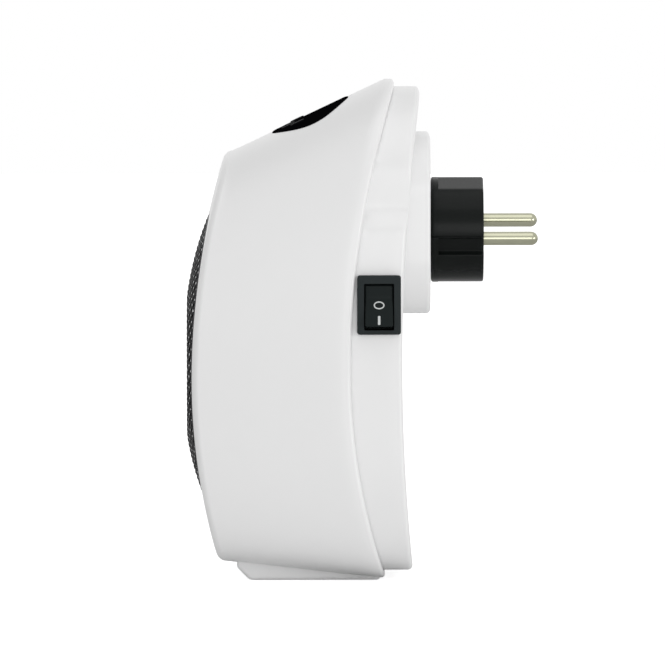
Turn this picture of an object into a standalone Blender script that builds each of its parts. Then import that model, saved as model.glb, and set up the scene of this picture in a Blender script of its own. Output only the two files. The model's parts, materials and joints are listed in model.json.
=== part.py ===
"""A plug-in fan heater: a white two-part housing that hangs on its own turning mains plug.

Metres, +Z up. The origin is the middle of the plug's flat face, which lies against the wall socket, so the
wall is the plane y = 0, the pins reach into +Y and the warm air leaves towards -Y. Seen from the front, +X is
the right.
"""

import math

import bmesh
import bpy
from mathutils import Matrix

MM = 0.001

# Driving sizes of the housing

GAP = 0.3 * MM                    # touching pieces keep this much air
OVERRUN = 2.0 * MM                # how far a cutter passes the face that it cuts
WALL = 2.2 * MM                   # moulded wall of both shells
OUTLINE_SIDES = 56
POINT_SPREAD = 0.85
HOUSING_TOP = 52.4 * MM
HOUSING_BOTTOM = -120.4 * MM
HOUSING_HALF_WIDTH = 58.0 * MM
WIDEST_HEIGHT = -57.0 * MM        # height of the widest line across the housing
UPPER_SQUARENESS = 3.4            # exponents of the superellipse above and below that line
LOWER_SQUARENESS = 5.0
FRONT_TOP = 27.2 * MM             # the front face is lower and narrower than the rim
FRONT_BOTTOM = -114.2 * MM
FRONT_HALF_WIDTH = 54.5 * MM
FRONT_EDGE_RADIUS = 5.0 * MM
RIM_DEPTH_SHARE = 0.07            # share of the depth over which the rim keeps its full size

# Side curves: each is an arc, given by its foremost or rearmost point and its radius

SEAM_VERTEX_Y = -46.7 * MM
SEAM_VERTEX_Z = -46.8 * MM
SEAM_UPPER_RADIUS = 310.0 * MM
SEAM_LOWER_RADIUS = 217.0 * MM
FRONT_VERTEX_Y = -102.2 * MM
FRONT_VERTEX_Z = -50.3 * MM
FRONT_RADIUS = 215.0 * MM
REAR_VERTEX_Y = -28.8 * MM
REAR_VERTEX_Z = -45.0 * MM
REAR_RADIUS = 675.0 * MM


def seam_y(z):
    """Rear edge of the front shell: two arcs that meet at its foremost point."""
    radius = SEAM_UPPER_RADIUS if z > SEAM_VERTEX_Z else SEAM_LOWER_RADIUS
    return SEAM_VERTEX_Y + (z - SEAM_VERTEX_Z) ** 2 / (2 * radius)


def front_y(z):
    """Front face, bowed forwards."""
    return FRONT_VERTEX_Y + (z - FRONT_VERTEX_Z) ** 2 / (2 * FRONT_RADIUS)


def rear_y(z):
    """Rear wall, hollow towards the room wall."""
    return REAR_VERTEX_Y + (z - REAR_VERTEX_Z) ** 2 / (2 * REAR_RADIUS)


def outline(top, bottom, half_width, points=OUTLINE_SIDES):
    """Front outline as (x, z): a superellipse, rounder above its widest line than below it. Its points are
    spread by a power between that of even angles and that of the superellipse itself."""
    found = []
    for index in range(points):
        angle = 2 * math.pi * (index + 0.5) / points
        across, up = math.cos(angle), math.sin(angle)
        height = top - WIDEST_HEIGHT if up > 0 else WIDEST_HEIGHT - bottom
        squareness = UPPER_SQUARENESS if up > 0 else LOWER_SQUARENESS
        share_x = math.copysign(abs(across) ** POINT_SPREAD, across)
        share_z = math.copysign(abs(up) ** POINT_SPREAD, up)
        reach = (abs(share_x) ** squareness + abs(share_z) ** squareness) ** (-1 / squareness)
        found.append((half_width * reach * share_x, WIDEST_HEIGHT + height * reach * share_z))
    return found


# Materials

MATERIALS = {
    "white_abs": ((0.86, 0.86, 0.855), 0.32, 0.0),
    "black_abs": ((0.030, 0.031, 0.033), 0.35, 0.0),
    "gloss_black": ((0.008, 0.008, 0.009), 0.08, 0.0),
    "grille_steel": ((0.20, 0.20, 0.21), 0.35, 1.0),
    "nickel": ((0.74, 0.73, 0.68), 0.22, 1.0),
    "zinc_steel": ((0.55, 0.56, 0.58), 0.35, 1.0),
    "brass": ((0.75, 0.60, 0.30), 0.30, 1.0),
    "heater_aluminium": ((0.80, 0.80, 0.82), 0.40, 1.0),
    "heatproof_resin": ((0.10, 0.10, 0.11), 0.55, 0.0),
    "fan_resin": ((0.12, 0.12, 0.13), 0.45, 0.0),
    "board_green": ((0.03, 0.20, 0.09), 0.45, 0.0),
    "relay_blue": ((0.05, 0.13, 0.40), 0.40, 0.0),
    "film_yellow": ((0.75, 0.55, 0.10), 0.40, 0.0),
    "display_grey": ((0.35, 0.36, 0.38), 0.35, 0.0),
}


def material(name):
    """The named Principled material, made the first time it is asked for."""
    found = bpy.data.materials.get(name)
    if found:
        return found
    colour, roughness, metallic = MATERIALS[name]
    made = bpy.data.materials.new(name)
    made.use_nodes = True
    shader = made.node_tree.nodes["Principled BSDF"]
    shader.inputs["Base Color"].default_value = (*colour, 1.0)
    shader.inputs["Roughness"].default_value = roughness
    shader.inputs["Metallic"].default_value = metallic
    made.diffuse_color = (*colour, 1.0)
    return made


# Shape tools

SHARP_ANGLE = math.radians(35)
TO_X = Matrix.Rotation(math.pi / 2, 4, "Y")     # turn a shape built along +Z to lie along +X
TO_Y = Matrix.Rotation(-math.pi / 2, 4, "X")    # or along +Y


def place(x=0.0, y=0.0, z=0.0, turn=None):
    """Matrix that turns a shape and then moves it."""
    return Matrix.Translation((x, y, z)) @ (turn or Matrix.Identity(4))


def finish_mesh(shape, name, finish, matrix=None, parent=None):
    """Puts a bmesh into a new object. With no finish the object is a cutter or a guide."""
    if matrix:
        bmesh.ops.transform(shape, matrix=matrix, verts=shape.verts)
    bmesh.ops.recalc_face_normals(shape, faces=shape.faces)
    if shape.calc_volume(signed=True) < 0:
        bmesh.ops.reverse_faces(shape, faces=shape.faces)
    mesh = bpy.data.meshes.new(name)
    shape.to_mesh(mesh)
    shape.free()
    mesh.shade_smooth()
    mesh.set_sharp_from_angle(angle=SHARP_ANGLE)
    made = bpy.data.objects.new(name, mesh)
    bpy.context.scene.collection.objects.link(made)
    made.parent = parent
    if finish:
        mesh.materials.append(material(finish))
    else:
        made.hide_render = True
        made.display_type = "WIRE"
    return made


def boolean(target, tool, operation="DIFFERENCE"):
    """Cuts the tool from the target, or joins it on."""
    step = target.modifiers.new(tool.name, "BOOLEAN")
    step.operation = operation
    step.solver = "EXACT"
    step.object = tool
    tool.hide_render = True
    tool.display_type = "WIRE"
    return target


def add_prism(shape, points, low, high, matrix=None):
    """Adds an upright prism on the (x, y) points between two heights."""
    lower = [shape.verts.new((x, y, low)) for x, y in points]
    upper = [shape.verts.new((x, y, high)) for x, y in points]
    shape.faces.new(lower[::-1])
    shape.faces.new(upper)
    for index, vertex in enumerate(lower):
        after = (index + 1) % len(lower)
        shape.faces.new((vertex, lower[after], upper[after], upper[index]))
    if matrix:
        bmesh.ops.transform(shape, matrix=matrix, verts=lower + upper)


def prism(name, points, low, high, finish=None, matrix=None, parent=None):
    shape = bmesh.new()
    add_prism(shape, points, low, high)
    return finish_mesh(shape, name, finish, matrix, parent)


def rectangle(width, height, radius=0.0, steps=3, centre=(0.0, 0.0)):
    """Rectangle with rounded corners, as (x, y) points."""
    if not radius:
        steps = 0
    points = []
    for corner in range(4):
        side_x = 1 if corner in (0, 3) else -1
        side_y = 1 if corner in (0, 1) else -1
        middle_x = centre[0] + side_x * (width / 2 - radius)
        middle_y = centre[1] + side_y * (height / 2 - radius)
        for step in range(steps + 1):
            angle = math.pi / 2 * (corner + (step / steps if steps else 0.5))
            reach = radius if steps else 0.0
            points.append((middle_x + reach * math.cos(angle), middle_y + reach * math.sin(angle)))
    return points


def circle(radius, points=24, centre=(0.0, 0.0), start=0.0):
    angles = [start + 2 * math.pi * index / points for index in range(points)]
    return [(centre[0] + radius * math.cos(a), centre[1] + radius * math.sin(a)) for a in angles]


def add_turned(shape, profile, segments=24, matrix=None):
    """Adds a body turned about +Z from (radius, height) pairs. Radius 0 makes a pole, and a profile that
    doesn't start and end on the axis is closed on itself as a ring."""
    closed = profile[0][0] > 0
    rings = []
    for radius, height in profile:
        if radius == 0:
            rings.append([shape.verts.new((0, 0, height))])
            continue
        angles = [2 * math.pi * index / segments for index in range(segments)]
        rings.append([shape.verts.new((radius * math.cos(a), radius * math.sin(a),
                                       height)) for a in angles])
    pairs = list(zip(rings, rings[1:] + rings[:1] if closed else rings[1:]))
    for one, other in pairs:
        for index in range(segments):
            after = (index + 1) % segments
            if len(one) == 1:
                shape.faces.new((one[0], other[index], other[after]))
            elif len(other) == 1:
                shape.faces.new((one[index], one[after], other[0]))
            else:
                shape.faces.new((one[index], one[after], other[after], other[index]))
    if matrix:
        bmesh.ops.transform(shape, matrix=matrix, verts=[vertex for ring in rings for vertex in ring])


def turned(name, profile, finish=None, matrix=None, parent=None, segments=24):
    shape = bmesh.new()
    add_turned(shape, profile, segments)
    return finish_mesh(shape, name, finish, matrix, parent)


def rod(radius, low, high, chamfer=0.0):
    """Profile of a plain round bar, with chamfered ends if asked."""
    if not chamfer:
        return [(0, low), (radius, low), (radius, high), (0, high)]
    return [
        (0, low), (radius - chamfer, low), (radius, low + chamfer),
        (radius, high - chamfer), (radius - chamfer, high), (0, high),
    ]


def ring(inner, outer, low, high):
    return [(inner, low), (outer, low), (outer, high), (inner, high)]


def housing_solid(name, sections):
    """Closed body lofted through (outline, depth function) sections, front to back. Depth depends on height
    alone, so each end is closed by strips that run straight across between mirrored points."""
    shape = bmesh.new()
    loops = [[shape.verts.new((x, depth(z), z)) for x, z in points] for points, depth in sections]
    count = len(loops[0])
    for one, other in zip(loops, loops[1:]):
        for index in range(count):
            after = (index + 1) % count
            shape.faces.new((one[index], one[after], other[after], other[index]))
    quarter = count // 4
    for loop in (loops[0], loops[-1]):
        for index in range(-quarter, quarter - 1):
            mirrored = count // 2 - 1 - index
            shape.faces.new((loop[index], loop[index + 1], loop[(mirrored - 1) % count],
                             loop[mirrored % count]))
    return finish_mesh(shape, name, None)


FORWARDS = Matrix.Rotation(math.pi / 2, 4, "X")   # (x, z) points; heights count forwards from the room wall
SIDEWAYS = Matrix(((0, 0, 1, 0), (1, 0, 0, 0), (0, 1, 0, 0), (0, 0, 0, 1)))   # (y, z) points, up is +X

for leftover in list(bpy.data.objects):
    bpy.data.objects.remove(leftover)


# Housing surfaces that both shells share

def lerp(start, end, share):
    return start + (end - start) * share


def front_outline(taper, inset):
    """Outline of the front shell, from the rim (taper 0) to the front face (taper 1)."""
    return outline(
        lerp(HOUSING_TOP, FRONT_TOP, taper) - inset,
        lerp(HOUSING_BOTTOM, FRONT_BOTTOM, taper) + inset,
        lerp(HOUSING_HALF_WIDTH, FRONT_HALF_WIDTH, taper) - inset,
    )


def front_sections(inset, past_seam):
    """Sections of the front shell's surface, or of a surface the given inset inside it."""
    edge = FRONT_EDGE_RADIUS - inset
    depth = SEAM_VERTEX_Y - FRONT_VERTEX_Y
    taper_end = 1 - FRONT_EDGE_RADIUS / depth
    sections = [
        (front_outline(0, inset), lambda z: seam_y(z) + past_seam),
        (front_outline(0, inset), lambda z: lerp(seam_y(z), front_y(z), RIM_DEPTH_SHARE)),
    ]
    for angle in (0, 30, 60, 90):
        turn = math.radians(angle)
        setback = inset + edge * (1 - math.sin(turn))
        shrink = inset + edge * (1 - math.cos(turn))
        sections.append((front_outline(taper_end, shrink), lambda z, setback=setback: front_y(z) + setback))
    return sections[::-1]


REAR_INSET = 2.6 * MM             # the rear shell's sides stand this far inside the front shell's
REAR_EDGE_RADIUS = 1.8 * MM
LIP = 2.6 * MM                    # how far the rear shell reaches into the front shell


def rear_sections(inset, past_lip, setback):
    """Sections of the rear shell's surface, from its lip inside the front shell to the rear wall."""
    def loop(extra):
        step = REAR_INSET + inset + extra
        return outline(HOUSING_TOP - step, HOUSING_BOTTOM + step, HOUSING_HALF_WIDTH - step)

    sections = [(loop(0), lambda z: seam_y(z) - LIP - past_lip)]
    for angle in (0, 45, 90):
        turn = math.radians(angle)
        shrink = REAR_EDGE_RADIUS * (1 - math.cos(turn)) if not inset else 0
        back = REAR_EDGE_RADIUS * (1 - math.sin(turn)) if not inset else 0
        if inset and angle:
            continue
        sections.append((loop(shrink), lambda z, back=back: rear_y(z) - setback - back))
    return sections


# Screws

SCREW_RADIUS = 1.5 * MM
SCREW_HEAD_RADIUS = 2.9 * MM
SCREW_HEAD_HEIGHT = 1.8 * MM
SCREW_CROSS_WIDTH = 0.8 * MM
SCREW_CROSS_DEPTH = 0.8 * MM
SCREW_RIM_SHARE = 0.6             # of the head's height, where its dome starts
SCREW_CROWN_SHARE = 0.75          # of the head's radius, where its flat crown ends
SCREW_CROSS_SHARE = 0.6           # of the head's radius, for the arms of the recess
SCREW_SEGMENTS = 8


def cross(width, reach):
    """Plus-shaped outline, as (x, y) points."""
    near, far = width / 2, reach
    quarter = [(far, near), (near, near), (near, far)]
    points = []
    for turn in range(4):
        c, s = round(math.cos(turn * math.pi / 2)), round(math.sin(turn * math.pi / 2))
        points += [(x * c - y * s, x * s + y * c) for x, y in quarter]
    return points


def screws(name, places, length, turn, parent=None, radius=SCREW_RADIUS):
    """Numbered cross-head screws of one mesh. Each head faces along +Z before the turn, with its underside on
    the place."""
    size = radius / SCREW_RADIUS
    head, height = SCREW_HEAD_RADIUS * size, SCREW_HEAD_HEIGHT * size
    profile = [(0, -length), (radius, -length), (radius, 0), (head, 0), (head, height * SCREW_RIM_SHARE),
               (head * SCREW_CROWN_SHARE, height),
               (0, height)]
    recess = cross(SCREW_CROSS_WIDTH * size, head * SCREW_CROSS_SHARE)
    recesses = bmesh.new()
    for x, y, z in places:
        add_prism(recesses, recess, height - SCREW_CROSS_DEPTH * size, height + GAP, place(x, y, z, turn))
    cutter = finish_mesh(recesses, name + "_recesses", None, parent=parent)
    first = turned(name + "_1", profile, "zinc_steel", parent=parent, segments=SCREW_SEGMENTS)
    for number, (x, y, z) in enumerate(places, 1):
        screw = first
        if number > 1:
            screw = bpy.data.objects.new(f"{name}_{number}", first.data)
            bpy.context.scene.collection.objects.link(screw)
            screw.parent = parent
        screw.matrix_basis = place(x, y, z, turn)
        boolean(screw, cutter)


# Front shell: a deep moulded hood with the foot that it stands on

FOOT_BOTTOM = HOUSING_BOTTOM
FOOT_HALF_WIDTH = 34.0 * MM
FOOT_FRONT_Y = -81.9 * MM
FOOT_REAR_Y = -36.5 * MM
FOOT_CHAMFER_DEPTH = 4.5 * MM
FOOT_HEIGHT = 8.0 * MM
CASE_BOSS_RADIUS = 3.6 * MM
CASE_SCREW_LENGTH = 15.0 * MM
UPPER_SCREW_INSET = 25.0 * MM     # of the case screws from the housing's flank, top and bottom
UPPER_SCREW_DROP = 22.4 * MM
LOWER_SCREW_INSET = 17.5 * MM
LOWER_SCREW_RISE = 14.9 * MM
CASE_SCREW_PLACES = [             # (x, z), and their mirror images
    (HOUSING_HALF_WIDTH - UPPER_SCREW_INSET, HOUSING_TOP - UPPER_SCREW_DROP),
    (HOUSING_HALF_WIDTH - LOWER_SCREW_INSET, HOUSING_BOTTOM + LOWER_SCREW_RISE),
]
CASE_WELL_DEPTH = 6.0 * MM
GRILLE_CENTRE_Z = -43.4 * MM
GRILLE_HALF_HEIGHT = 49.2 * MM
GRILLE_HALF_WIDTH = 44.0 * MM
GRILLE_SQUARENESS = 2.5
GRILLE_POINTS = 40


def mirrored(places):
    return [(side * x, z) for side in (1, -1) for x, z in places]


def grille_outline(share, points=GRILLE_POINTS):
    """Outline of the grille opening scaled by a share, as (x, z)."""
    found = []
    for index in range(points):
        angle = 2 * math.pi * (index + 0.5) / points
        across, up = math.cos(angle), math.sin(angle)
        found.append((
            share * GRILLE_HALF_WIDTH * math.copysign(abs(across) ** (2 / GRILLE_SQUARENESS), across),
            GRILLE_CENTRE_Z
            + share * GRILLE_HALF_HEIGHT * math.copysign(abs(up) ** (2 / GRILLE_SQUARENESS), up),
        ))
    return found


PANEL_CENTRE_Y = -60.4 * MM
PANEL_HALF_WIDTH = 22.0 * MM
PANEL_HALF_LENGTH = 14.7 * MM
PANEL_POINTS = 28
PANEL_RISE = 1.0 * MM             # crown of the panel above its edge
PANEL_EDGE_RISE = 0.5 * MM        # edge of the panel above the housing
PANEL_THICKNESS = 2.4 * MM
PANEL_FLANGE = 1.3 * MM
PANEL_FLANGE_THICKNESS = 1.2 * MM
RIM_Y = lerp(seam_y(HOUSING_TOP), front_y(HOUSING_TOP), RIM_DEPTH_SHARE)
SLOPE = math.atan2(HOUSING_TOP - FRONT_TOP, RIM_Y - front_y(FRONT_TOP))
PANEL_CENTRE_Z = HOUSING_TOP - (RIM_Y - PANEL_CENTRE_Y) * math.tan(SLOPE)

panel_frame = bpy.data.objects.new("panel_frame", None)
panel_frame.location = (0, PANEL_CENTRE_Y, PANEL_CENTRE_Z)
panel_frame.rotation_euler = (SLOPE, 0, 0)
bpy.context.scene.collection.objects.link(panel_frame)


def ellipse(half_width, half_length, points=PANEL_POINTS):
    angles = [2 * math.pi * index / points for index in range(points)]
    return [(half_width * math.cos(a), half_length * math.sin(a)) for a in angles]


def foot():
    points = [
        (FOOT_REAR_Y, FOOT_BOTTOM), (FOOT_REAR_Y, FOOT_BOTTOM + FOOT_HEIGHT),
        (FOOT_FRONT_Y - FOOT_CHAMFER_DEPTH, FOOT_BOTTOM + FOOT_HEIGHT),
        (FOOT_FRONT_Y - FOOT_CHAMFER_DEPTH, FOOT_BOTTOM + FOOT_CHAMFER_DEPTH), (FOOT_FRONT_Y, FOOT_BOTTOM),
    ]
    return prism("front_foot", points, -FOOT_HALF_WIDTH, FOOT_HALF_WIDTH, None, SIDEWAYS)


def case_bosses():
    """Round posts that take the case screws, cut to the shape of the hood around them."""
    shape = bmesh.new()
    for x, z in mirrored(CASE_SCREW_PLACES):
        start = -seam_y(z) + GAP
        add_turned(shape, rod(CASE_BOSS_RADIUS, start, -front_y(z)), POST_SEGMENTS,
                   place(x, 0, z, FORWARDS))
    bosses = finish_mesh(shape, "case_bosses", None)
    return boolean(bosses, housing_solid("boss_limit", front_sections(WALL / 2, 0)), "INTERSECT")


def case_pilots():
    shape = bmesh.new()
    for x, z in mirrored(CASE_SCREW_PLACES):
        start = -seam_y(z) - OVERRUN
        add_turned(shape, rod(SCREW_RADIUS + GAP, start, start + CASE_SCREW_LENGTH), PILOT_SEGMENTS,
                   place(x, 0, z, FORWARDS))
    return finish_mesh(shape, "case_pilots", None)


def front_shell():
    shell = housing_solid("front_shell", front_sections(0, 0))
    shell.hide_render = False
    shell.display_type = "TEXTURED"
    shell.data.materials.append(material("white_abs"))
    boolean(shell, foot(), "UNION")
    boolean(shell, housing_solid("front_hollow", front_sections(WALL, OVERRUN)))
    boolean(shell, case_bosses(), "UNION")
    boolean(shell, case_pilots())
    reach = -front_y(GRILLE_CENTRE_Z + GRILLE_HALF_HEIGHT) - WALL - OVERRUN - FRONT_EDGE_RADIUS
    opening = prism("grille_opening", grille_outline(1), reach, -FRONT_VERTEX_Y + OVERRUN, None, FORWARDS)
    boolean(shell, opening)
    hole = ellipse(PANEL_HALF_WIDTH + GAP, PANEL_HALF_LENGTH + GAP)
    cutter = prism("panel_hole", hole, -WALL * 3, OVERRUN, None, None, panel_frame)
    return boolean(shell, cutter)


# Rear shell: a shallow dish with the plug boss, finger grips, air intake and the switch window

BOSS_SIZE = 62.6 * MM
BOSS_CENTRE_Z = 2.5 * MM
BOSS_CORNER_RADIUS = 20.0 * MM
BOSS_FACE = 18.7 * MM             # distance of the boss's end from the room wall
BOSS_WALL = 3.0 * MM
PLUG_HOLE_RADIUS = 13.5 * MM
GRIP_DEPTH = 10.0 * MM            # the grips are flat cuts this far inside the hood's flanks
GRIP_HALF_WIDTH = HOUSING_HALF_WIDTH - GRIP_DEPTH
GRIP_BOTTOM = 8.6 * MM
SWITCH_CENTRE_Y = -36.9 * MM
SWITCH_CENTRE_Z = -23.4 * MM
SWITCH_BODY_WIDTH = 12.9 * MM
SWITCH_BODY_HEIGHT = 18.8 * MM
VENT_LENGTH = 19.0 * MM
VENT_HEIGHT = 3.2 * MM
VENT_PITCH_X = 22.0 * MM
VENT_PITCH_Z = 7.0 * MM
VENT_COLUMNS = 3
VENT_ROWS = 7
VENT_TOP_Z = -42.0 * MM
DUCT_CENTRE_Z = -48.0 * MM
DUCT_PLATE = 86.0 * MM
DUCT_SCREW_INSET = 5.0 * MM
DUCT_FIXING = DUCT_PLATE / 2 - DUCT_SCREW_INSET   # half the spacing of the four duct screws
DUCT_SCREW_LENGTH = 10.0 * MM
DUCT_EAR_BACK = 50.0 * MM         # distance of the duct's ears from the room wall
DUCT_EAR_THICKNESS = 3.0 * MM
POST_RADIUS = 4.0 * MM
POST_SEGMENTS = 12
PILOT_SEGMENTS = 8
BOARD_BACK = 40.0 * MM            # distance of the power board from the room wall
BOARD_POSTS = [(24.0 * MM, 16.0 * MM)]
CONTACT_POSTS = [(22.0 * MM, 2.5 * MM)]
CONTACT_BLOCK_BACK = 29.6 * MM


SEAM_STEPS = 12


def grip_cut(name, inset, before_seam):
    """Prisms that flatten both flanks above the ledge, in line with the plug, for two fingers. They end in
    front at the seam's own curve, moved forwards by the last value."""
    shape = bmesh.new()
    near, far = GRIP_HALF_WIDTH - inset, HOUSING_HALF_WIDTH + OVERRUN
    low, high = GRIP_BOTTOM - inset, HOUSING_TOP
    for side in (1, -1):
        points = [(side * near, low), (side * far, low - (far - near)),
                  (side * far, high), (side * near, high)]
        add_prism(shape, points, 0, -SEAM_VERTEX_Y + LIP + OVERRUN, FORWARDS)
    cut = finish_mesh(shape, name, None)
    heights = [lerp(GRIP_BOTTOM - HOUSING_HALF_WIDTH, HOUSING_TOP + OVERRUN, step / SEAM_STEPS)
               for step in range(SEAM_STEPS + 1)]
    edge = [(seam_y(z) - before_seam, z) for z in heights]
    edge += [(FRONT_VERTEX_Y, heights[-1]), (FRONT_VERTEX_Y, heights[0])]
    reach = HOUSING_HALF_WIDTH + 2 * OVERRUN
    return boolean(cut, prism(name + "_limit", edge, -reach, reach, None, SIDEWAYS))


def duct_places():
    sides = (DUCT_FIXING, -DUCT_FIXING)
    return [(x, DUCT_CENTRE_Z + z) for x in sides for z in sides]


def rear_posts():
    """Posts inside the rear wall for the case screws, the duct, the power board and the contact block."""
    shape = bmesh.new()
    for x, z in mirrored(CASE_SCREW_PLACES):
        add_turned(shape, rod(POST_RADIUS, -rear_y(z) + WALL / 2, -seam_y(z)), POST_SEGMENTS,
                   place(x, 0, z, FORWARDS))
    for x, z in duct_places():
        add_turned(shape, rod(POST_RADIUS, -rear_y(z) + WALL / 2, DUCT_EAR_BACK - GAP), POST_SEGMENTS,
                   place(x, 0, z, FORWARDS))
    for x, z in mirrored(BOARD_POSTS):
        add_turned(shape, rod(POST_RADIUS, BOSS_FACE + BOSS_WALL / 2, BOARD_BACK - GAP), POST_SEGMENTS,
                   place(x, 0, z, FORWARDS))
    for x, z in mirrored(CONTACT_POSTS):
        end = CONTACT_BLOCK_BACK - GAP
        add_turned(shape, rod(POST_RADIUS, BOSS_FACE + BOSS_WALL / 2, end), POST_SEGMENTS,
                   place(x, 0, z, FORWARDS))
    return finish_mesh(shape, "rear_posts", None)


def rear_holes():
    """Screw wells and pilot holes."""
    shape = bmesh.new()
    for x, z in mirrored(CASE_SCREW_PLACES):
        floor = -rear_y(z) + CASE_WELL_DEPTH
        well = [
            (0, -rear_y(z) - OVERRUN), (SCREW_HEAD_RADIUS + GAP, -rear_y(z) - OVERRUN),
            (SCREW_HEAD_RADIUS + GAP, floor), (SCREW_RADIUS + GAP, floor),
            (SCREW_RADIUS + GAP, -seam_y(z) + OVERRUN), (0, -seam_y(z) + OVERRUN),
        ]
        add_turned(shape, well, POST_SEGMENTS, place(x, 0, z, FORWARDS))
    for x, z in duct_places():
        hole = rod(SCREW_RADIUS + GAP, DUCT_EAR_BACK - DUCT_SCREW_LENGTH, DUCT_EAR_BACK + OVERRUN)
        add_turned(shape, hole, PILOT_SEGMENTS, place(x, 0, z, FORWARDS))
    for x, z in mirrored(BOARD_POSTS):
        hole = rod(SCREW_RADIUS + GAP, BOARD_BACK - BOARD_SCREW_LENGTH, BOARD_BACK + OVERRUN)
        add_turned(shape, hole, PILOT_SEGMENTS, place(x, 0, z, FORWARDS))
    for x, z in mirrored(CONTACT_POSTS):
        hole = rod(SCREW_RADIUS + GAP, BOSS_FACE + BOSS_WALL, CONTACT_BLOCK_BACK + OVERRUN)
        add_turned(shape, hole, PILOT_SEGMENTS, place(x, 0, z, FORWARDS))
    return finish_mesh(shape, "rear_holes", None)


def vents():
    shape = bmesh.new()
    for column in range(VENT_COLUMNS):
        for row in range(VENT_ROWS):
            x = (column - (VENT_COLUMNS - 1) / 2) * VENT_PITCH_X
            z = VENT_TOP_Z - row * VENT_PITCH_Z
            add_prism(shape, rectangle(VENT_LENGTH, VENT_HEIGHT, centre=(x, z)),
                      BOSS_FACE, -REAR_VERTEX_Y + WALL + OVERRUN, FORWARDS)
    return finish_mesh(shape, "vents", None)


BOARD_SCREW_LENGTH = 7.0 * MM


def rear_shell():
    shell = housing_solid("rear_shell", rear_sections(0, 0, 0))
    shell.hide_render = False
    shell.display_type = "TEXTURED"
    shell.data.materials.append(material("white_abs"))
    boolean(shell, grip_cut("grip_cut", 0, 0))
    hollow = housing_solid("rear_hollow", rear_sections(WALL, OVERRUN, WALL))
    boolean(hollow, grip_cut("grip_wall", WALL, WALL))
    boolean(shell, hollow)
    middle = (0, BOSS_CENTRE_Z)
    boss_root = -rear_y(BOSS_CENTRE_Z - BOSS_SIZE / 2) + WALL / 2
    boss = prism("plug_boss", rectangle(BOSS_SIZE, BOSS_SIZE, BOSS_CORNER_RADIUS, 6, middle),
                 BOSS_FACE, boss_root, None, FORWARDS)
    boolean(shell, boss, "UNION")
    inner = BOSS_SIZE - 2 * WALL
    boss_hollow = prism("boss_hollow", rectangle(inner, inner, BOSS_CORNER_RADIUS - WALL, 6, middle),
                        BOSS_FACE + BOSS_WALL, boss_root + OVERRUN, None, FORWARDS)
    boolean(shell, boss_hollow)
    boolean(shell, rear_posts(), "UNION")
    plug_hole = turned("plug_hole", rod(PLUG_HOLE_RADIUS, BOSS_FACE - OVERRUN,
                                        BOSS_FACE + BOSS_WALL + OVERRUN),
                       None, FORWARDS, segments=32)
    boolean(shell, plug_hole)
    boolean(shell, rear_holes())
    boolean(shell, vents())
    window = prism("switch_window", rectangle(SWITCH_BODY_WIDTH + 2 * GAP, SWITCH_BODY_HEIGHT + 2 * GAP),
                   BEZEL_SEAT_X - SWITCH_DEPTH - OVERRUN, HOUSING_HALF_WIDTH + OVERRUN, None, SWITCH_PLACE)
    return boolean(shell, window)


# Front grille: expanded steel mesh, pressed into a dome and held by its rim behind the front shell

GRILLE_RISE = 1.6 * MM            # how far the middle of the dome stands in front of the shell
MESH_PITCH_X = 11.0 * MM
MESH_PITCH_Z = 8.8 * MM
MESH_HOLE_SHARE = 0.72            # share of each diamond that is open
MESH_THICKNESS = 0.8 * MM
MESH_LIMIT_SHARE = 0.95
RIM_INNER_SHARE = 0.875
RIM_OUTER_SHARE = 0.992
RIM_FRONT = 0.5 * MM              # front and back of the rim, from the middle of the mesh
RIM_BACK = 0.9 * MM
GRILLE_FLANGE_SHARE = 1.06
GRILLE_FLANGE_THICKNESS = 1.0 * MM


def grille_share(x, z):
    """How far a point lies from the grille's middle, as a share of its outline."""
    across, up = abs(x / GRILLE_HALF_WIDTH), abs((z - GRILLE_CENTRE_Z) / GRILLE_HALF_HEIGHT)
    return (across ** GRILLE_SQUARENESS + up ** GRILLE_SQUARENESS) ** (1 / GRILLE_SQUARENESS)


def grille_y(x, z):
    """Middle surface of the dome."""
    return front_y(z) + MESH_THICKNESS / 2 - GRILLE_RISE * (1 - grille_share(x, z) ** 2)


def grille_mesh():
    """Sheet of diamonds. Each diamond is four quads round an open middle, and neighbours share corners."""
    shape = bmesh.new()
    corners = {}

    def corner(column, row):
        if (column, row) not in corners:
            x, z = column * MESH_PITCH_X / 2, GRILLE_CENTRE_Z + row * MESH_PITCH_Z / 2
            corners[column, row] = shape.verts.new((x, grille_y(x, z), z))
        return corners[column, row]

    reach_x = int(2 * GRILLE_HALF_WIDTH / MESH_PITCH_X) + 1
    reach_z = int(2 * GRILLE_HALF_HEIGHT / MESH_PITCH_Z) + 1
    for row in range(-reach_z, reach_z + 1):
        for column in range(-reach_x, reach_x + 1):
            around = [(column + 1, row), (column, row + 1), (column - 1, row), (column, row - 1)]
            places = [(c * MESH_PITCH_X / 2, GRILLE_CENTRE_Z + r * MESH_PITCH_Z / 2) for c, r in around]
            if (column + row) % 2 or max(grille_share(x, z) for x, z in places) > MESH_LIMIT_SHARE:
                continue
            middle_x, middle_z = column * MESH_PITCH_X / 2, GRILLE_CENTRE_Z + row * MESH_PITCH_Z / 2
            outer = [corner(c, r) for c, r in around]
            inner = []
            for x, z in places:
                x = lerp(middle_x, x, MESH_HOLE_SHARE)
                z = lerp(middle_z, z, MESH_HOLE_SHARE)
                inner.append(shape.verts.new((x, grille_y(x, z), z)))
            for index in range(4):
                after = (index + 1) % 4
                shape.faces.new((outer[index], outer[after], inner[after], inner[index]))
    made = finish_mesh(shape, "front_grille", "grille_steel")
    skin = made.modifiers.new("sheet", "SOLIDIFY")
    skin.thickness = MESH_THICKNESS
    skin.offset = 0
    return made


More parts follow.
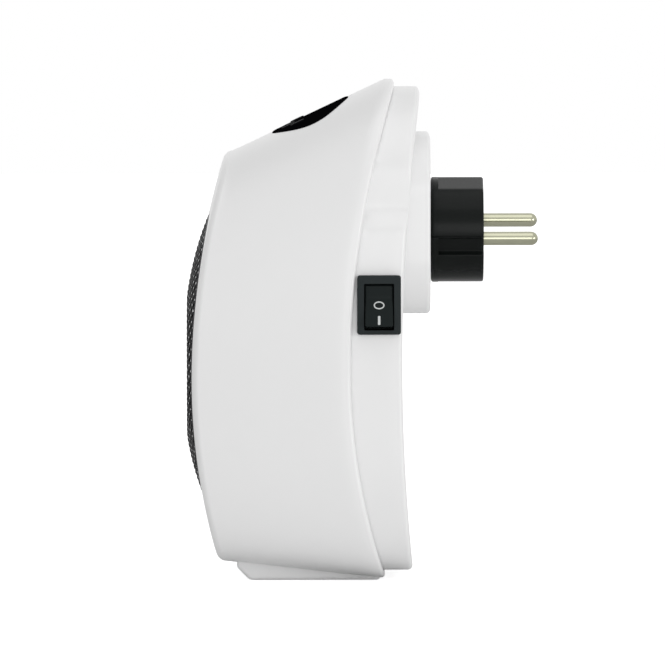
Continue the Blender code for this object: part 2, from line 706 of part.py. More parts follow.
def grille_rim():
    """Rolled rim of the mesh, with the flange that catches behind the front shell."""
    behind_wall = WALL + GAP - MESH_THICKNESS / 2
    flange_inner = RIM_OUTER_SHARE - (GRILLE_FLANGE_SHARE - RIM_OUTER_SHARE) / 2
    profile = [
        (RIM_INNER_SHARE, -RIM_FRONT), (RIM_OUTER_SHARE, -RIM_FRONT), (RIM_OUTER_SHARE, behind_wall),
        (GRILLE_FLANGE_SHARE, behind_wall), (GRILLE_FLANGE_SHARE, behind_wall + GRILLE_FLANGE_THICKNESS),
        (flange_inner, behind_wall + GRILLE_FLANGE_THICKNESS), (flange_inner, RIM_BACK),
        (RIM_INNER_SHARE, RIM_BACK),
    ]
    shape = bmesh.new()
    loops = []
    for share, setback in profile:
        points = grille_outline(share)
        depth = [grille_y(x, z) if share < 1 else front_y(z) + MESH_THICKNESS / 2 for x, z in points]
        loops.append([shape.verts.new((x, y + setback, z)) for (x, z), y in zip(points, depth)])
    for one, other in zip(loops, loops[1:] + loops[:1]):
        for index in range(GRILLE_POINTS):
            after = (index + 1) % GRILLE_POINTS
            shape.faces.new((one[index], one[after], other[after], other[index]))
    return finish_mesh(shape, "grille_rim", None)


# Mains plug: a round unearthed plug that the whole heater turns on

RUNNING_GAP = 0.4 * MM
PLUG_RADIUS = 18.4 * MM
PLUG_CHAMFER = 0.8 * MM
PLUG_SEGMENTS = 40
PLUG_TILT = math.radians(-17.0)   # the pins' line dips towards +X, as in the photograph
PLUG_NECK_RADIUS = PLUG_HOLE_RADIUS - RUNNING_GAP
PLUG_NECK_END = 26.0 * MM
PLUG_FLAT = 15.8 * MM             # half the distance between the flats that clear the socket's earth clips
PLUG_RIM = 2.5 * MM               # full round rim left next to the boss
GUIDE_WIDTH = 6.0 * MM
GUIDE_DEPTH = 2.4 * MM
PIN_SPACING = 19.0 * MM
PIN_RADIUS = 2.4 * MM
PIN_LENGTH = 19.0 * MM
PIN_ROOT = 14.0 * MM
RETAINER_RADIUS = 17.0 * MM
RETAINER_THICKNESS = 3.0 * MM
SLIP_RING_RADII = (5.0 * MM, 10.0 * MM)
SLIP_RING_WIDTH = 2.0 * MM
SLIP_RING_THICKNESS = 0.8 * MM
PLUG_TURN = FORWARDS @ Matrix.Rotation(PLUG_TILT, 4, "Z")


def plug_body():
    end = BOSS_FACE - RUNNING_GAP
    profile = [
        (0, 0), (PLUG_RADIUS - PLUG_CHAMFER, 0), (PLUG_RADIUS, PLUG_CHAMFER), (PLUG_RADIUS, end),
        (PLUG_NECK_RADIUS, end), (PLUG_NECK_RADIUS, PLUG_NECK_END), (0, PLUG_NECK_END),
    ]
    body = turned("plug_body", profile, "black_abs", PLUG_TURN, segments=PLUG_SEGMENTS)
    cuts = bmesh.new()
    reach = PLUG_RADIUS + OVERRUN
    for side in (1, -1):
        flat = [(-reach, side * PLUG_FLAT), (reach, side * PLUG_FLAT),
                (reach, side * reach), (-reach, side * reach)]
        add_prism(cuts, flat, -OVERRUN, end - PLUG_RIM, PLUG_TURN)
        guide = rectangle(GUIDE_DEPTH + OVERRUN, GUIDE_WIDTH,
                          centre=(side * (PLUG_RADIUS + (OVERRUN - GUIDE_DEPTH) / 2), 0))
        add_prism(cuts, guide, -OVERRUN, end - PLUG_RIM, PLUG_TURN)
        socket = rod(PIN_RADIUS + GAP, -OVERRUN, PIN_ROOT + GAP)
        add_turned(cuts, socket, 16, PLUG_TURN @ place(side * PIN_SPACING / 2))
    return boolean(body, finish_mesh(cuts, "plug_cuts", None))


def plug_pin(name, side):
    tip = [(PIN_RADIUS * math.cos(a), -PIN_LENGTH + PIN_RADIUS * (1 - math.sin(a)))
           for a in (math.radians(step) for step in (0, 30, 60))]
    profile = [(0, -PIN_LENGTH)] + tip[::-1] + [(PIN_RADIUS, PIN_ROOT), (0, PIN_ROOT)]
    turned(name, profile, "nickel", PLUG_TURN @ place(side * PIN_SPACING / 2), segments=16)


plug_body()
plug_pin("plug_pin_near", 1)
plug_pin("plug_pin_far", -1)
retainer_start = BOSS_FACE + BOSS_WALL + RUNNING_GAP
turned("plug_retaining_nut",
       ring(PLUG_NECK_RADIUS + GAP, RETAINER_RADIUS, retainer_start, retainer_start + RETAINER_THICKNESS),
       "black_abs", FORWARDS, segments=24)
slip_ring_start = PLUG_NECK_END + GAP
slip_ring_end = slip_ring_start + SLIP_RING_THICKNESS
for slip_ring, radius in zip(("slip_ring_inner", "slip_ring_outer"), SLIP_RING_RADII):
    turned(slip_ring, ring(radius - SLIP_RING_WIDTH / 2, radius + SLIP_RING_WIDTH / 2, slip_ring_start,
                           slip_ring_end),
           "brass", FORWARDS, segments=20)


# Contacts: two spring leaves on a block bear on the slip rings, whichever way the plug is turned

CONTACT_BLOCK_WIDTH = 52.0 * MM
CONTACT_BLOCK_HEIGHT = 13.0 * MM
CONTACT_BLOCK_THICKNESS = 3.0 * MM
CONTACT_BLOCK_CORNER = 3.0 * MM
LEAF_WIDTH = 4.0 * MM
LEAF_LENGTH = 7.0 * MM
LEAF_THICKNESS = 0.5 * MM
LEAF_PAD = 1.2 * MM


def contact_block():
    middle = (0, BOSS_CENTRE_Z)
    end = CONTACT_BLOCK_BACK + CONTACT_BLOCK_THICKNESS
    block = prism("contact_block", rectangle(CONTACT_BLOCK_WIDTH, CONTACT_BLOCK_HEIGHT,
                                             CONTACT_BLOCK_CORNER, 3,
                                             middle), CONTACT_BLOCK_BACK, end, "heatproof_resin", FORWARDS)
    holes = bmesh.new()
    for x, z in mirrored(CONTACT_POSTS):
        add_turned(holes, rod(SCREW_RADIUS + GAP, CONTACT_BLOCK_BACK - OVERRUN, end + OVERRUN), 10,
                   place(x, 0, z, FORWARDS))
    return boolean(block, finish_mesh(holes, "contact_block_holes", None))


def contact_leaf(name, side, radius):
    """The leaf leaves the block, slopes back and ends in a small pad on its ring."""
    top = CONTACT_BLOCK_BACK - GAP
    pad = slip_ring_end + GAP
    root = radius + LEAF_LENGTH
    points = [
        (root, top), (root - LEAF_PAD, top),
        (radius, pad + LEAF_THICKNESS), (radius - LEAF_PAD, pad + LEAF_THICKNESS),
        (radius - LEAF_PAD, pad), (radius + LEAF_PAD / 2, pad), (root - LEAF_PAD / 2, top - LEAF_THICKNESS),
        (root, top - LEAF_THICKNESS),
    ]
    points = [(side * x, -forward) for x, forward in points]
    prism(name, points, -LEAF_WIDTH / 2, LEAF_WIDTH / 2, "brass")


contact_block()
contact_leaf("contact_leaf_inner", 1, SLIP_RING_RADII[0])
contact_leaf("contact_leaf_outer", -1, SLIP_RING_RADII[1])
contact_screw_y = -CONTACT_BLOCK_BACK - CONTACT_BLOCK_THICKNESS - GAP
screws("contact_screw", [(x, contact_screw_y, z) for x, z in mirrored(CONTACT_POSTS)],
       -contact_screw_y - BOSS_FACE - BOSS_WALL - GAP, FORWARDS)


# Rocker switch on the right flank, under the finger grip

BEZEL_WIDTH = 15.2 * MM
BEZEL_HEIGHT = 20.6 * MM
BEZEL_THICKNESS = 1.9 * MM
BEZEL_CORNER = 1.0 * MM
SWITCH_DEPTH = 16.0 * MM
SWITCH_CAVITY_DEPTH = 9.0 * MM
ROCKER_WIDTH = 9.6 * MM
ROCKER_HALF_HEIGHT = 7.2 * MM
ROCKER_DROP = 0.7 * MM            # the rocker sits this much below the bezel's middle
ROCKER_CLEARANCE = 0.4 * MM
ROCKER_TOP_RISE = 2.4 * MM        # heights of the rocker's face above its pivot, when level
ROCKER_FOLD_RISE = 1.5 * MM
ROCKER_FOOT_RISE = 3.3 * MM
ROCKER_FOLD = 2.8 * MM            # height of the fold in its face above its middle
ROCKER_END_DROP = 2.6 * MM
ROCKER_MIDDLE_DROP = 4.2 * MM
ROCKER_TILT = math.radians(10)
ROCKER_PIVOT_DEPTH = 1.9 * MM     # pivot below the bezel's face
SWITCH_BLADE_LENGTH = 7.5 * MM
SWITCH_BLADE_WIDTH = 4.8 * MM
SWITCH_BLADE_THICKNESS = 0.8 * MM
SWITCH_BLADE_SPACING = 9.0 * MM
BEZEL_SEAT_X = HOUSING_HALF_WIDTH - REAR_INSET + GAP
BEZEL_FACE_X = BEZEL_SEAT_X + BEZEL_THICKNESS
ROCKER_PIVOT_X = BEZEL_FACE_X - ROCKER_PIVOT_DEPTH
SWITCH_PLACE = place(0, SWITCH_CENTRE_Y, SWITCH_CENTRE_Z) @ SIDEWAYS


def switch_body():
    rear = BEZEL_SEAT_X - SWITCH_DEPTH
    body = prism("switch_body", rectangle(BEZEL_WIDTH, BEZEL_HEIGHT, BEZEL_CORNER, 3), BEZEL_SEAT_X,
                 BEZEL_FACE_X,
                 "black_abs", SWITCH_PLACE)
    box = prism("switch_box", rectangle(SWITCH_BODY_WIDTH, SWITCH_BODY_HEIGHT), rear, BEZEL_SEAT_X + GAP,
                None,
                SWITCH_PLACE)
    boolean(body, box, "UNION")
    reach = math.hypot(ROCKER_HALF_HEIGHT, ROCKER_FOOT_RISE) + GAP / 2
    plan = rectangle(ROCKER_WIDTH + 2 * ROCKER_CLEARANCE, 2 * reach, centre=(0, -ROCKER_DROP))
    cavity = prism("switch_cavity", plan,
                   BEZEL_FACE_X - SWITCH_CAVITY_DEPTH, BEZEL_FACE_X + OVERRUN, None, SWITCH_PLACE)
    return boolean(body, cavity)


def switch_rocker():
    """Shallow hollow across its face. It rests tipped with its upper end in, which is off."""
    half = ROCKER_HALF_HEIGHT
    points = [
        (half, ROCKER_FOOT_RISE), (-ROCKER_FOLD, ROCKER_FOLD_RISE), (-half, ROCKER_TOP_RISE),
        (-half, -ROCKER_END_DROP), (0, -ROCKER_MIDDLE_DROP), (half, -ROCKER_END_DROP),
    ]
    rocker = prism("switch_rocker", points, -ROCKER_WIDTH / 2, ROCKER_WIDTH / 2, "black_abs",
                   Matrix(((0, 1, 0, 0), (0, 0, -1, 0), (-1, 0, 0, 0), (0, 0, 0, 1))))
    rocker.location = (ROCKER_PIVOT_X, SWITCH_CENTRE_Y, SWITCH_CENTRE_Z - ROCKER_DROP)
    rocker.rotation_euler = (0, -ROCKER_TILT, 0)


def switch_blade(name, side):
    rear = BEZEL_SEAT_X - SWITCH_DEPTH - GAP
    middle = (0, side * SWITCH_BLADE_SPACING / 2)
    blade = rectangle(SWITCH_BLADE_WIDTH, SWITCH_BLADE_THICKNESS, centre=middle)
    prism(name, blade, rear - SWITCH_BLADE_LENGTH, rear, "brass", SWITCH_PLACE)


switch_body()
switch_rocker()
switch_blade("switch_blade_upper", 1)
switch_blade("switch_blade_lower", -1)


# Control panel: a gloss black oval set into the slope, over a display and four push buttons

PANEL_SAG = 1.6 * MM              # the housing lies this much lower at the panel's sides than in its middle
PANEL_WALL = 1.6 * MM
PANEL_SKIN = 1.2 * MM             # underside of the skin, below the slope
PANEL_SHOULDER = 6.0 * MM         # width of the crown's curved edge
BUTTON_PLACES = {
    "button_timer": (-13.5 * MM, -5.0 * MM), "button_cooler": (-4.8 * MM, -8.4 * MM),
    "button_warmer": (4.8 * MM, -8.4 * MM), "button_power": (13.5 * MM, -5.0 * MM),
}
BUTTON_RADIUS = 2.6 * MM
BUTTON_RISE = 1.7 * MM
BUTTON_CHAMFER = 0.4 * MM
BUTTON_FLANGE_RADIUS = 3.4 * MM
BUTTON_FLANGE_THICKNESS = 1.0 * MM
BUTTON_STEM_RADIUS = 1.2 * MM
BUTTON_STEM_LENGTH = 1.4 * MM
BUTTON_TRAVEL = 0.6 * MM
BUTTON_SEGMENTS = 12
KEY_SIZE = 6.0 * MM
KEY_HEIGHT = 3.5 * MM
KEY_PLUNGER_RADIUS = 1.7 * MM
KEY_PLUNGER_HEIGHT = 0.8 * MM
PANEL_POSTS = [(16.6 * MM, 3.0 * MM)]
PANEL_POST_RADIUS = 2.6 * MM
SMALL_SCREW_RADIUS = 1.0 * MM
SMALL_SCREW_LENGTH = 5.5 * MM
BOARD_THICKNESS = 1.6 * MM
CONTROL_BOARD_WIDTH = 39.6 * MM
CONTROL_BOARD_LENGTH = 25.0 * MM
CONTROL_BOARD_CORNER = 3.0 * MM
DISPLAY_WIDTH = 20.0 * MM
DISPLAY_LENGTH = 9.0 * MM
DISPLAY_CENTRE = (0.0, 3.6 * MM)
button_flange_top = -PANEL_SKIN - GAP
button_stem_end = button_flange_top - BUTTON_FLANGE_THICKNESS - BUTTON_STEM_LENGTH
control_board_top = button_stem_end - BUTTON_TRAVEL - GAP / 2 - KEY_PLUNGER_HEIGHT - KEY_HEIGHT - GAP


def oval(name, profile, finish=None):
    """Body through ovals, given as (growth beyond the panel's edge, height)."""
    shape = bmesh.new()
    loops = []
    for growth, height in profile:
        points = ellipse(PANEL_HALF_WIDTH + growth, PANEL_HALF_LENGTH + growth)
        loops.append([shape.verts.new((x, y, height)) for x, y in points])
    for one, other in zip(loops, loops[1:]):
        for index in range(PANEL_POINTS):
            after = (index + 1) % PANEL_POINTS
            shape.faces.new((one[index], one[after], other[after], other[index]))
    shape.faces.new(loops[0][::-1])
    shape.faces.new(loops[-1])
    return finish_mesh(shape, name, finish, parent=panel_frame)


def control_panel():
    flange_top = -WALL - PANEL_SAG - GAP
    flange_bottom = flange_top - PANEL_FLANGE_THICKNESS
    panel = oval("control_panel", [
        (PANEL_FLANGE, flange_bottom), (PANEL_FLANGE, flange_top), (0, flange_top),
        (0, PANEL_EDGE_RISE - GAP), (-GAP, PANEL_EDGE_RISE), (-PANEL_SHOULDER, PANEL_RISE),
    ], "gloss_black")
    hollow = [(-PANEL_WALL, flange_bottom - OVERRUN), (-PANEL_WALL, -PANEL_SKIN)]
    boolean(panel, oval("panel_hollow", hollow))
    posts, holes = bmesh.new(), bmesh.new()
    for x, y in mirrored(PANEL_POSTS):
        add_turned(posts, rod(PANEL_POST_RADIUS, control_board_top + GAP, 0), 12, place(x, y))
        add_turned(holes, rod(SMALL_SCREW_RADIUS + GAP, control_board_top - GAP, -PANEL_SKIN), 8,
                   place(x, y))
    for x, y in BUTTON_PLACES.values():
        add_turned(holes, rod(BUTTON_RADIUS + GAP, -PANEL_SKIN - GAP, PANEL_RISE + GAP), BUTTON_SEGMENTS,
                   place(x, y))
    boolean(panel, finish_mesh(posts, "panel_posts", None, parent=panel_frame), "UNION")
    return boolean(panel, finish_mesh(holes, "panel_holes", None, parent=panel_frame))


def control_board():
    low = control_board_top - BOARD_THICKNESS
    board = prism("control_board",
                  rectangle(CONTROL_BOARD_WIDTH, CONTROL_BOARD_LENGTH, CONTROL_BOARD_CORNER, 3),
                  low, control_board_top, "board_green", parent=panel_frame)
    holes = bmesh.new()
    for x, y in mirrored(PANEL_POSTS):
        add_turned(holes, rod(SMALL_SCREW_RADIUS + GAP, low - OVERRUN, control_board_top + OVERRUN), 8,
                   place(x, y))
    boolean(board, finish_mesh(holes, "control_board_holes", None, parent=panel_frame))
    screws("control_board_screw", [(x, y, low - GAP) for x, y in mirrored(PANEL_POSTS)], SMALL_SCREW_LENGTH,
           Matrix.Rotation(math.pi, 4, "X"), panel_frame, SMALL_SCREW_RADIUS)


def button(name, x, y):
    """Push button, whose origin is on the slope. It slides along its own axis."""
    flange_bottom = button_flange_top - BUTTON_FLANGE_THICKNESS
    profile = [
        (0, button_stem_end), (BUTTON_STEM_RADIUS, button_stem_end), (BUTTON_STEM_RADIUS, flange_bottom),
        (BUTTON_FLANGE_RADIUS, flange_bottom), (BUTTON_FLANGE_RADIUS, button_flange_top),
        (BUTTON_RADIUS, button_flange_top), (BUTTON_RADIUS, BUTTON_RISE - BUTTON_CHAMFER),
        (BUTTON_RADIUS - BUTTON_CHAMFER, BUTTON_RISE), (0, BUTTON_RISE),
    ]
    made = turned(name, profile, "gloss_black", parent=panel_frame, segments=BUTTON_SEGMENTS)
    made.location = (x, y, 0)


def key_switch(name, x, y):
    """Small push switch on the control board, under its button."""
    low = control_board_top + GAP
    body = prism(name, rectangle(KEY_SIZE, KEY_SIZE), low, low + KEY_HEIGHT, "heatproof_resin",
                 parent=panel_frame)
    plunger = turned(name + "_plunger", rod(KEY_PLUNGER_RADIUS, low + GAP,
                                            low + KEY_HEIGHT + KEY_PLUNGER_HEIGHT),
                     None, None, panel_frame, 10)
    body.location = plunger.location = (x, y, 0)
    boolean(body, plunger, "UNION")


control_panel()
control_board()
for button_name, (button_x, button_y) in BUTTON_PLACES.items():
    button(button_name, button_x, button_y)
    key_switch(button_name.replace("button", "key_switch"), button_x, button_y)
prism("display_module", rectangle(DISPLAY_WIDTH, DISPLAY_LENGTH, centre=DISPLAY_CENTRE),
      control_board_top + GAP,
      -PANEL_SKIN - GAP, "display_grey", parent=panel_frame)


# Power board behind the control panel, on two posts of the rear shell

POWER_BOARD_WIDTH = 54.0 * MM
POWER_BOARD_HEIGHT = 30.0 * MM
POWER_BOARD_CENTRE_Z = 27.0 * MM
POWER_BOARD_CORNER = 2.0 * MM
RELAY_WIDTH = 19.0 * MM
RELAY_HEIGHT = 13.0 * MM
RELAY_DEPTH = 14.0 * MM
RELAY_CENTRE = (-9.5 * MM, 19.0 * MM)
CAPACITOR_WIDTH = 16.0 * MM
CAPACITOR_HEIGHT = 8.0 * MM
CAPACITOR_DEPTH = 13.0 * MM
CAPACITOR_CENTRE = (11.0 * MM, 20.0 * MM)
COMPONENT_EDGE = 0.8 * MM
power_board_front = BOARD_BACK + BOARD_THICKNESS


def power_board():
    board = prism("power_board",
                  rectangle(POWER_BOARD_WIDTH, POWER_BOARD_HEIGHT, POWER_BOARD_CORNER, 2,
                            (0, POWER_BOARD_CENTRE_Z)),
                  BOARD_BACK, power_board_front, "board_green", FORWARDS)
    holes = bmesh.new()
    for x, z in mirrored(BOARD_POSTS):
        add_turned(holes, rod(SCREW_RADIUS + GAP, BOARD_BACK - OVERRUN, power_board_front + OVERRUN), 10,
                   place(x, 0, z, FORWARDS))
    boolean(board, finish_mesh(holes, "power_board_holes", None))
    screws("power_board_screw", [(x, -power_board_front - GAP, z) for x, z in mirrored(BOARD_POSTS)],
           BOARD_SCREW_LENGTH, FORWARDS)


power_board()
prism("relay", rectangle(RELAY_WIDTH, RELAY_HEIGHT, COMPONENT_EDGE, 1, RELAY_CENTRE),
      power_board_front + GAP,
      power_board_front + RELAY_DEPTH, "relay_blue", FORWARDS)
prism("film_capacitor", rectangle(CAPACITOR_WIDTH, CAPACITOR_HEIGHT, COMPONENT_EDGE, 1, CAPACITOR_CENTRE),
      power_board_front + GAP, power_board_front + CAPACITOR_DEPTH, "film_yellow", FORWARDS)


# Fan: an axial impeller on a motor that three spokes hold in the duct

DUCT_PLATE_CORNER = 6.0 * MM
DUCT_INNER_RADIUS = 34.5 * MM
DUCT_WALL = 2.5 * MM
DUCT_END = 71.5 * MM              # distance of the duct's front from the room wall
DUCT_FLANGE_WIDTH = 80.0 * MM
DUCT_FLANGE_HEIGHT = 76.0 * MM
DUCT_FLANGE_THICKNESS = 2.0 * MM
DUCT_SEGMENTS = 36
MOTOR_RADIUS = 15.0 * MM
MOTOR_BACK = 33.0 * MM
MOTOR_FRONT = 50.0 * MM
MOTOR_NOSE_RADIUS = 4.0 * MM
MOTOR_NOSE_LENGTH = 2.5 * MM
MOTOR_RING_WALL = 2.5 * MM
MOTOR_RING_DEPTH = 5.0 * MM       # how far the motor's ring reaches back from the duct's plate
SPOKES = 3
FIRST_SPOKE_SHARE = 0.25          # of the step between two spokes, where the first one stands
SPOKE_WIDTH = 5.0 * MM
SHAFT_RADIUS = 1.2 * MM
SHAFT_BACK = 42.0 * MM
SHAFT_FRONT = 66.0 * MM
BLADES = 7
HUB_RADIUS = 12.0 * MM
HUB_WALL = 1.6 * MM
HUB_BACK = 55.5 * MM
HUB_FRONT = 66.5 * MM
HUB_CHAMFER = 2.0 * MM
HUB_SLEEVE_RADIUS = 4.0 * MM
BLADE_TIP_RADIUS = 33.0 * MM
BLADE_THICKNESS = 1.3 * MM
BLADE_HALF_ANGLE = math.radians(19)
BLADE_BACK = 56.0 * MM            # the blade's trailing and leading edges at the hub
BLADE_FRONT = 65.0 * MM
BLADE_TWIST = 2.6 * MM            # how much each edge is drawn in at the tip
BLADE_CAMBER = 1.0 * MM
FAN_PLACE = place(0, 0, DUCT_CENTRE_Z) @ FORWARDS


def fan_duct():
    plate = DUCT_EAR_BACK + DUCT_EAR_THICKNESS
    duct = prism("fan_duct", rectangle(DUCT_PLATE, DUCT_PLATE, DUCT_PLATE_CORNER, 3), DUCT_EAR_BACK, plate,
                 "heatproof_resin", FAN_PLACE)
    tube = rod(DUCT_INNER_RADIUS + DUCT_WALL, DUCT_EAR_BACK + GAP, DUCT_END - GAP)
    boolean(duct, turned("duct_tube", tube, None, FAN_PLACE, segments=DUCT_SEGMENTS), "UNION")
    flange = rectangle(DUCT_FLANGE_WIDTH, DUCT_FLANGE_HEIGHT, DUCT_FLANGE_THICKNESS, 2)
    boolean(duct, prism("duct_flange", flange, DUCT_END - DUCT_FLANGE_THICKNESS, DUCT_END, None,
                        FAN_PLACE), "UNION")
    bore = rod(DUCT_INNER_RADIUS, DUCT_EAR_BACK - OVERRUN, DUCT_END + OVERRUN)
    boolean(duct, turned("duct_bore", bore, None, FAN_PLACE, segments=DUCT_SEGMENTS))
    spider = bmesh.new()
    motor_ring = ring(MOTOR_RADIUS + GAP, MOTOR_RADIUS + GAP + MOTOR_RING_WALL,
                      DUCT_EAR_BACK - MOTOR_RING_DEPTH, plate)
    add_turned(spider, motor_ring, 20)
    holder = finish_mesh(spider, "motor_holder", None, FAN_PLACE)
    arms = bmesh.new()
    inner, outer = MOTOR_RADIUS + MOTOR_RING_WALL / 2 + GAP, DUCT_INNER_RADIUS + DUCT_WALL / 2
    for arm in range(SPOKES):
        matrix = Matrix.Rotation(2 * math.pi * (arm + FIRST_SPOKE_SHARE) / SPOKES, 4, "Z")
        points = rectangle(outer - inner, SPOKE_WIDTH, centre=((outer + inner) / 2, 0))
        add_prism(arms, points, DUCT_EAR_BACK, plate - GAP, matrix)
    boolean(holder, finish_mesh(arms, "motor_arms", None, FAN_PLACE), "UNION")
    boolean(duct, holder, "UNION")
    holes = bmesh.new()
    for x, z in duct_places():
        add_turned(holes, rod(SCREW_RADIUS + GAP, DUCT_EAR_BACK - OVERRUN, plate + OVERRUN), 10,
                   place(x, 0, z, FORWARDS))
    boolean(duct, finish_mesh(holes, "duct_holes", None))
    screws("duct_screw", [(x, -plate - GAP, z) for x, z in duct_places()], DUCT_SCREW_LENGTH, FORWARDS)


def fan_motor():
    nose = MOTOR_FRONT + MOTOR_NOSE_LENGTH
    profile = [
        (0, MOTOR_BACK), (MOTOR_RADIUS, MOTOR_BACK), (MOTOR_RADIUS, MOTOR_FRONT),
        (MOTOR_NOSE_RADIUS, MOTOR_FRONT),
        (MOTOR_NOSE_RADIUS, nose), (SHAFT_RADIUS + GAP, nose), (SHAFT_RADIUS + GAP, SHAFT_BACK - GAP),
        (0, SHAFT_BACK - GAP),
    ]
    turned("fan_motor", profile, "zinc_steel", FAN_PLACE, segments=20)
    turned("motor_shaft", rod(SHAFT_RADIUS, SHAFT_BACK, SHAFT_FRONT), "zinc_steel", FAN_PLACE, segments=12)


def fan_impeller():
    bore = SHAFT_RADIUS + GAP
    inner = HUB_RADIUS - HUB_WALL
    profile = [
        (bore, HUB_BACK), (HUB_SLEEVE_RADIUS, HUB_BACK), (HUB_SLEEVE_RADIUS, HUB_FRONT - HUB_WALL * 2),
        (inner, HUB_FRONT - HUB_WALL * 2), (inner, HUB_BACK), (HUB_RADIUS, HUB_BACK),
        (HUB_RADIUS, HUB_FRONT - HUB_CHAMFER), (HUB_RADIUS - HUB_CHAMFER, HUB_FRONT), (bore, HUB_FRONT),
    ]
    hub = turned("fan_impeller", profile, "fan_resin", FAN_PLACE, segments=21)
    blades = bmesh.new()
    for blade in range(BLADES):
        middle = 2 * math.pi * blade / BLADES
        stations = []
        for share in (0, 0.5, 1):
            radius = lerp(HUB_RADIUS - HUB_WALL / 2, BLADE_TIP_RADIUS, share)
            drawn_in = BLADE_TWIST * share
            back, front = BLADE_BACK + drawn_in, BLADE_FRONT - drawn_in
            chord = [(-1, back), (0, (back + front) / 2 + BLADE_CAMBER), (1, front)]
            station = []
            for thickness, order in ((0, chord), (-BLADE_THICKNESS, chord[::-1])):
                for side, height in order:
                    angle = middle + side * BLADE_HALF_ANGLE
                    station.append(blades.verts.new((radius * math.cos(angle), radius * math.sin(angle),
                                                     height + thickness)))
            stations.append(station)
        for one, other in zip(stations, stations[1:]):
            for index in range(len(one)):
                after = (index + 1) % len(one)
                blades.faces.new((one[index], one[after], other[after], other[index]))
        for station in (stations[0], stations[-1]):
            blades.faces.new((station[0], station[1], station[4], station[5]))
            blades.faces.new((station[1], station[2], station[3], station[4]))
    boolean(hub, finish_mesh(blades, "fan_blades", None, FAN_PLACE), "UNION")


fan_duct()
fan_motor()
fan_impeller()


# Heating element: two rows of ceramic heaters in aluminium tubes, each between two packs of folded fins

FRAME_WIDTH = 78.0 * MM
FRAME_HEIGHT = 74.0 * MM
FRAME_WALL = 3.0 * MM
FRAME_DEPTH = 15.0 * MM
FRAME_RIB = 1.6 * MM
HEATER_BAR_HEIGHT = 6.0 * MM
HEATER_DEPTH = 11.0 * MM
FIN_PITCH = 4.4 * MM
FIN_THICKNESS = 0.5 * MM
CUTOUT_RADIUS = 7.5 * MM
CUTOUT_HEIGHT = 6.0 * MM
CUTOUT_X = -16.0 * MM
FUSE_RADIUS = 2.0 * MM
FUSE_LENGTH = 12.0 * MM
FUSE_X = 16.0 * MM
SENSOR_RADIUS = 1.4 * MM
SENSOR_LENGTH = 6.0 * MM
SENSOR_INSET = 3.0 * MM           # of the sensor from the top edge of the duct's plate
frame_back = DUCT_END + GAP
frame_front = frame_back + FRAME_DEPTH
heater_back = frame_back + (FRAME_DEPTH - HEATER_DEPTH) / 2
heater_width = FRAME_WIDTH - 2 * FRAME_WALL - 2 * GAP


def element_frame():
    frame = prism("element_frame", rectangle(FRAME_WIDTH, FRAME_HEIGHT, FRAME_WALL, 2), frame_back,
                  frame_front,
                  "heatproof_resin", FAN_PLACE)
    width, height = FRAME_WIDTH - 2 * FRAME_WALL, (FRAME_HEIGHT - 2 * FRAME_WALL - FRAME_RIB) / 2
    windows = bmesh.new()
    for side in (1, -1):
        middle = side * (FRAME_RIB + height) / 2
        add_prism(windows, rectangle(width, height, centre=(0, middle)), frame_back - OVERRUN,
                  frame_front + OVERRUN)
    boolean(frame, finish_mesh(windows, "frame_windows", None, FAN_PLACE))
    return height


def fin_pack(name, low, high):
    """Folded strip that runs to and fro between two heights."""
    folds = int(heater_width / (FIN_PITCH / 2))
    step = heater_width / folds
    rise = FIN_THICKNESS * math.hypot(high - low, step) / step    # the strip's thickness measured upright
    path = [(-heater_width / 2 + index * step,
             high - rise if index % 2 else low) for index in range(folds + 1)]
    points = path + [(x, z + rise) for x, z in path[::-1]]
    prism(name, points, heater_back, heater_back + HEATER_DEPTH, "heater_aluminium", FAN_PLACE)


def heater_rows(window):
    for name, side in (("upper", 1), ("lower", -1)):
        middle = side * (FRAME_RIB + window) / 2
        bar = rectangle(heater_width, HEATER_BAR_HEIGHT, centre=(0, middle))
        prism("heater_bar_" + name, bar, heater_back, heater_back + HEATER_DEPTH, "heater_aluminium",
              FAN_PLACE)
        reach, edge = window / 2 - GAP, HEATER_BAR_HEIGHT / 2 + GAP
        fin_pack(f"fins_{name}_top", middle + edge, middle + reach)
        fin_pack(f"fins_{name}_bottom", middle - reach, middle - edge)


heater_rows(element_frame())
safety_z = DUCT_CENTRE_Z + FRAME_HEIGHT / 2 + GAP
safety_y = -(frame_back + frame_front) / 2
turned("thermal_cutout", rod(CUTOUT_RADIUS, 0, CUTOUT_HEIGHT), "heatproof_resin",
       place(CUTOUT_X, safety_y, safety_z),
       segments=16)
turned("thermal_fuse", rod(FUSE_RADIUS, -FUSE_LENGTH / 2, FUSE_LENGTH / 2), "zinc_steel",
       place(FUSE_X, safety_y, safety_z + FUSE_RADIUS, TO_X), segments=12)
turned("temperature_sensor", rod(SENSOR_RADIUS, -SENSOR_LENGTH / 2, SENSOR_LENGTH / 2), "heatproof_resin",
       place(0, -DUCT_EAR_BACK + GAP + SENSOR_RADIUS, DUCT_CENTRE_Z + DUCT_PLATE / 2 - SENSOR_INSET,
             TO_X), segments=10)


# The housing, closed by four screws from behind

CASE_SCREW_REACH = 18.0 * MM      # length of a case screw under its head

front_shell()
rear_shell()
boolean(grille_mesh(), grille_rim(), "UNION")
screws("case_screw", [(x, rear_y(z) - CASE_WELL_DEPTH + GAP, z) for x, z in mirrored(CASE_SCREW_PLACES)],
       CASE_SCREW_REACH, TO_Y)
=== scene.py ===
# %% [markdown]
# # A plug-in fan heater
# This lesson dresses a finished CAD model of a small heater that hangs on its own mains plug. The CAD gives
# the sizes, the inside and the joints. Here each outer piece is made again as a fine surface, and every
# piece gets a material that starts from what the real one is made of.

# %% Load the frame
import json
import math

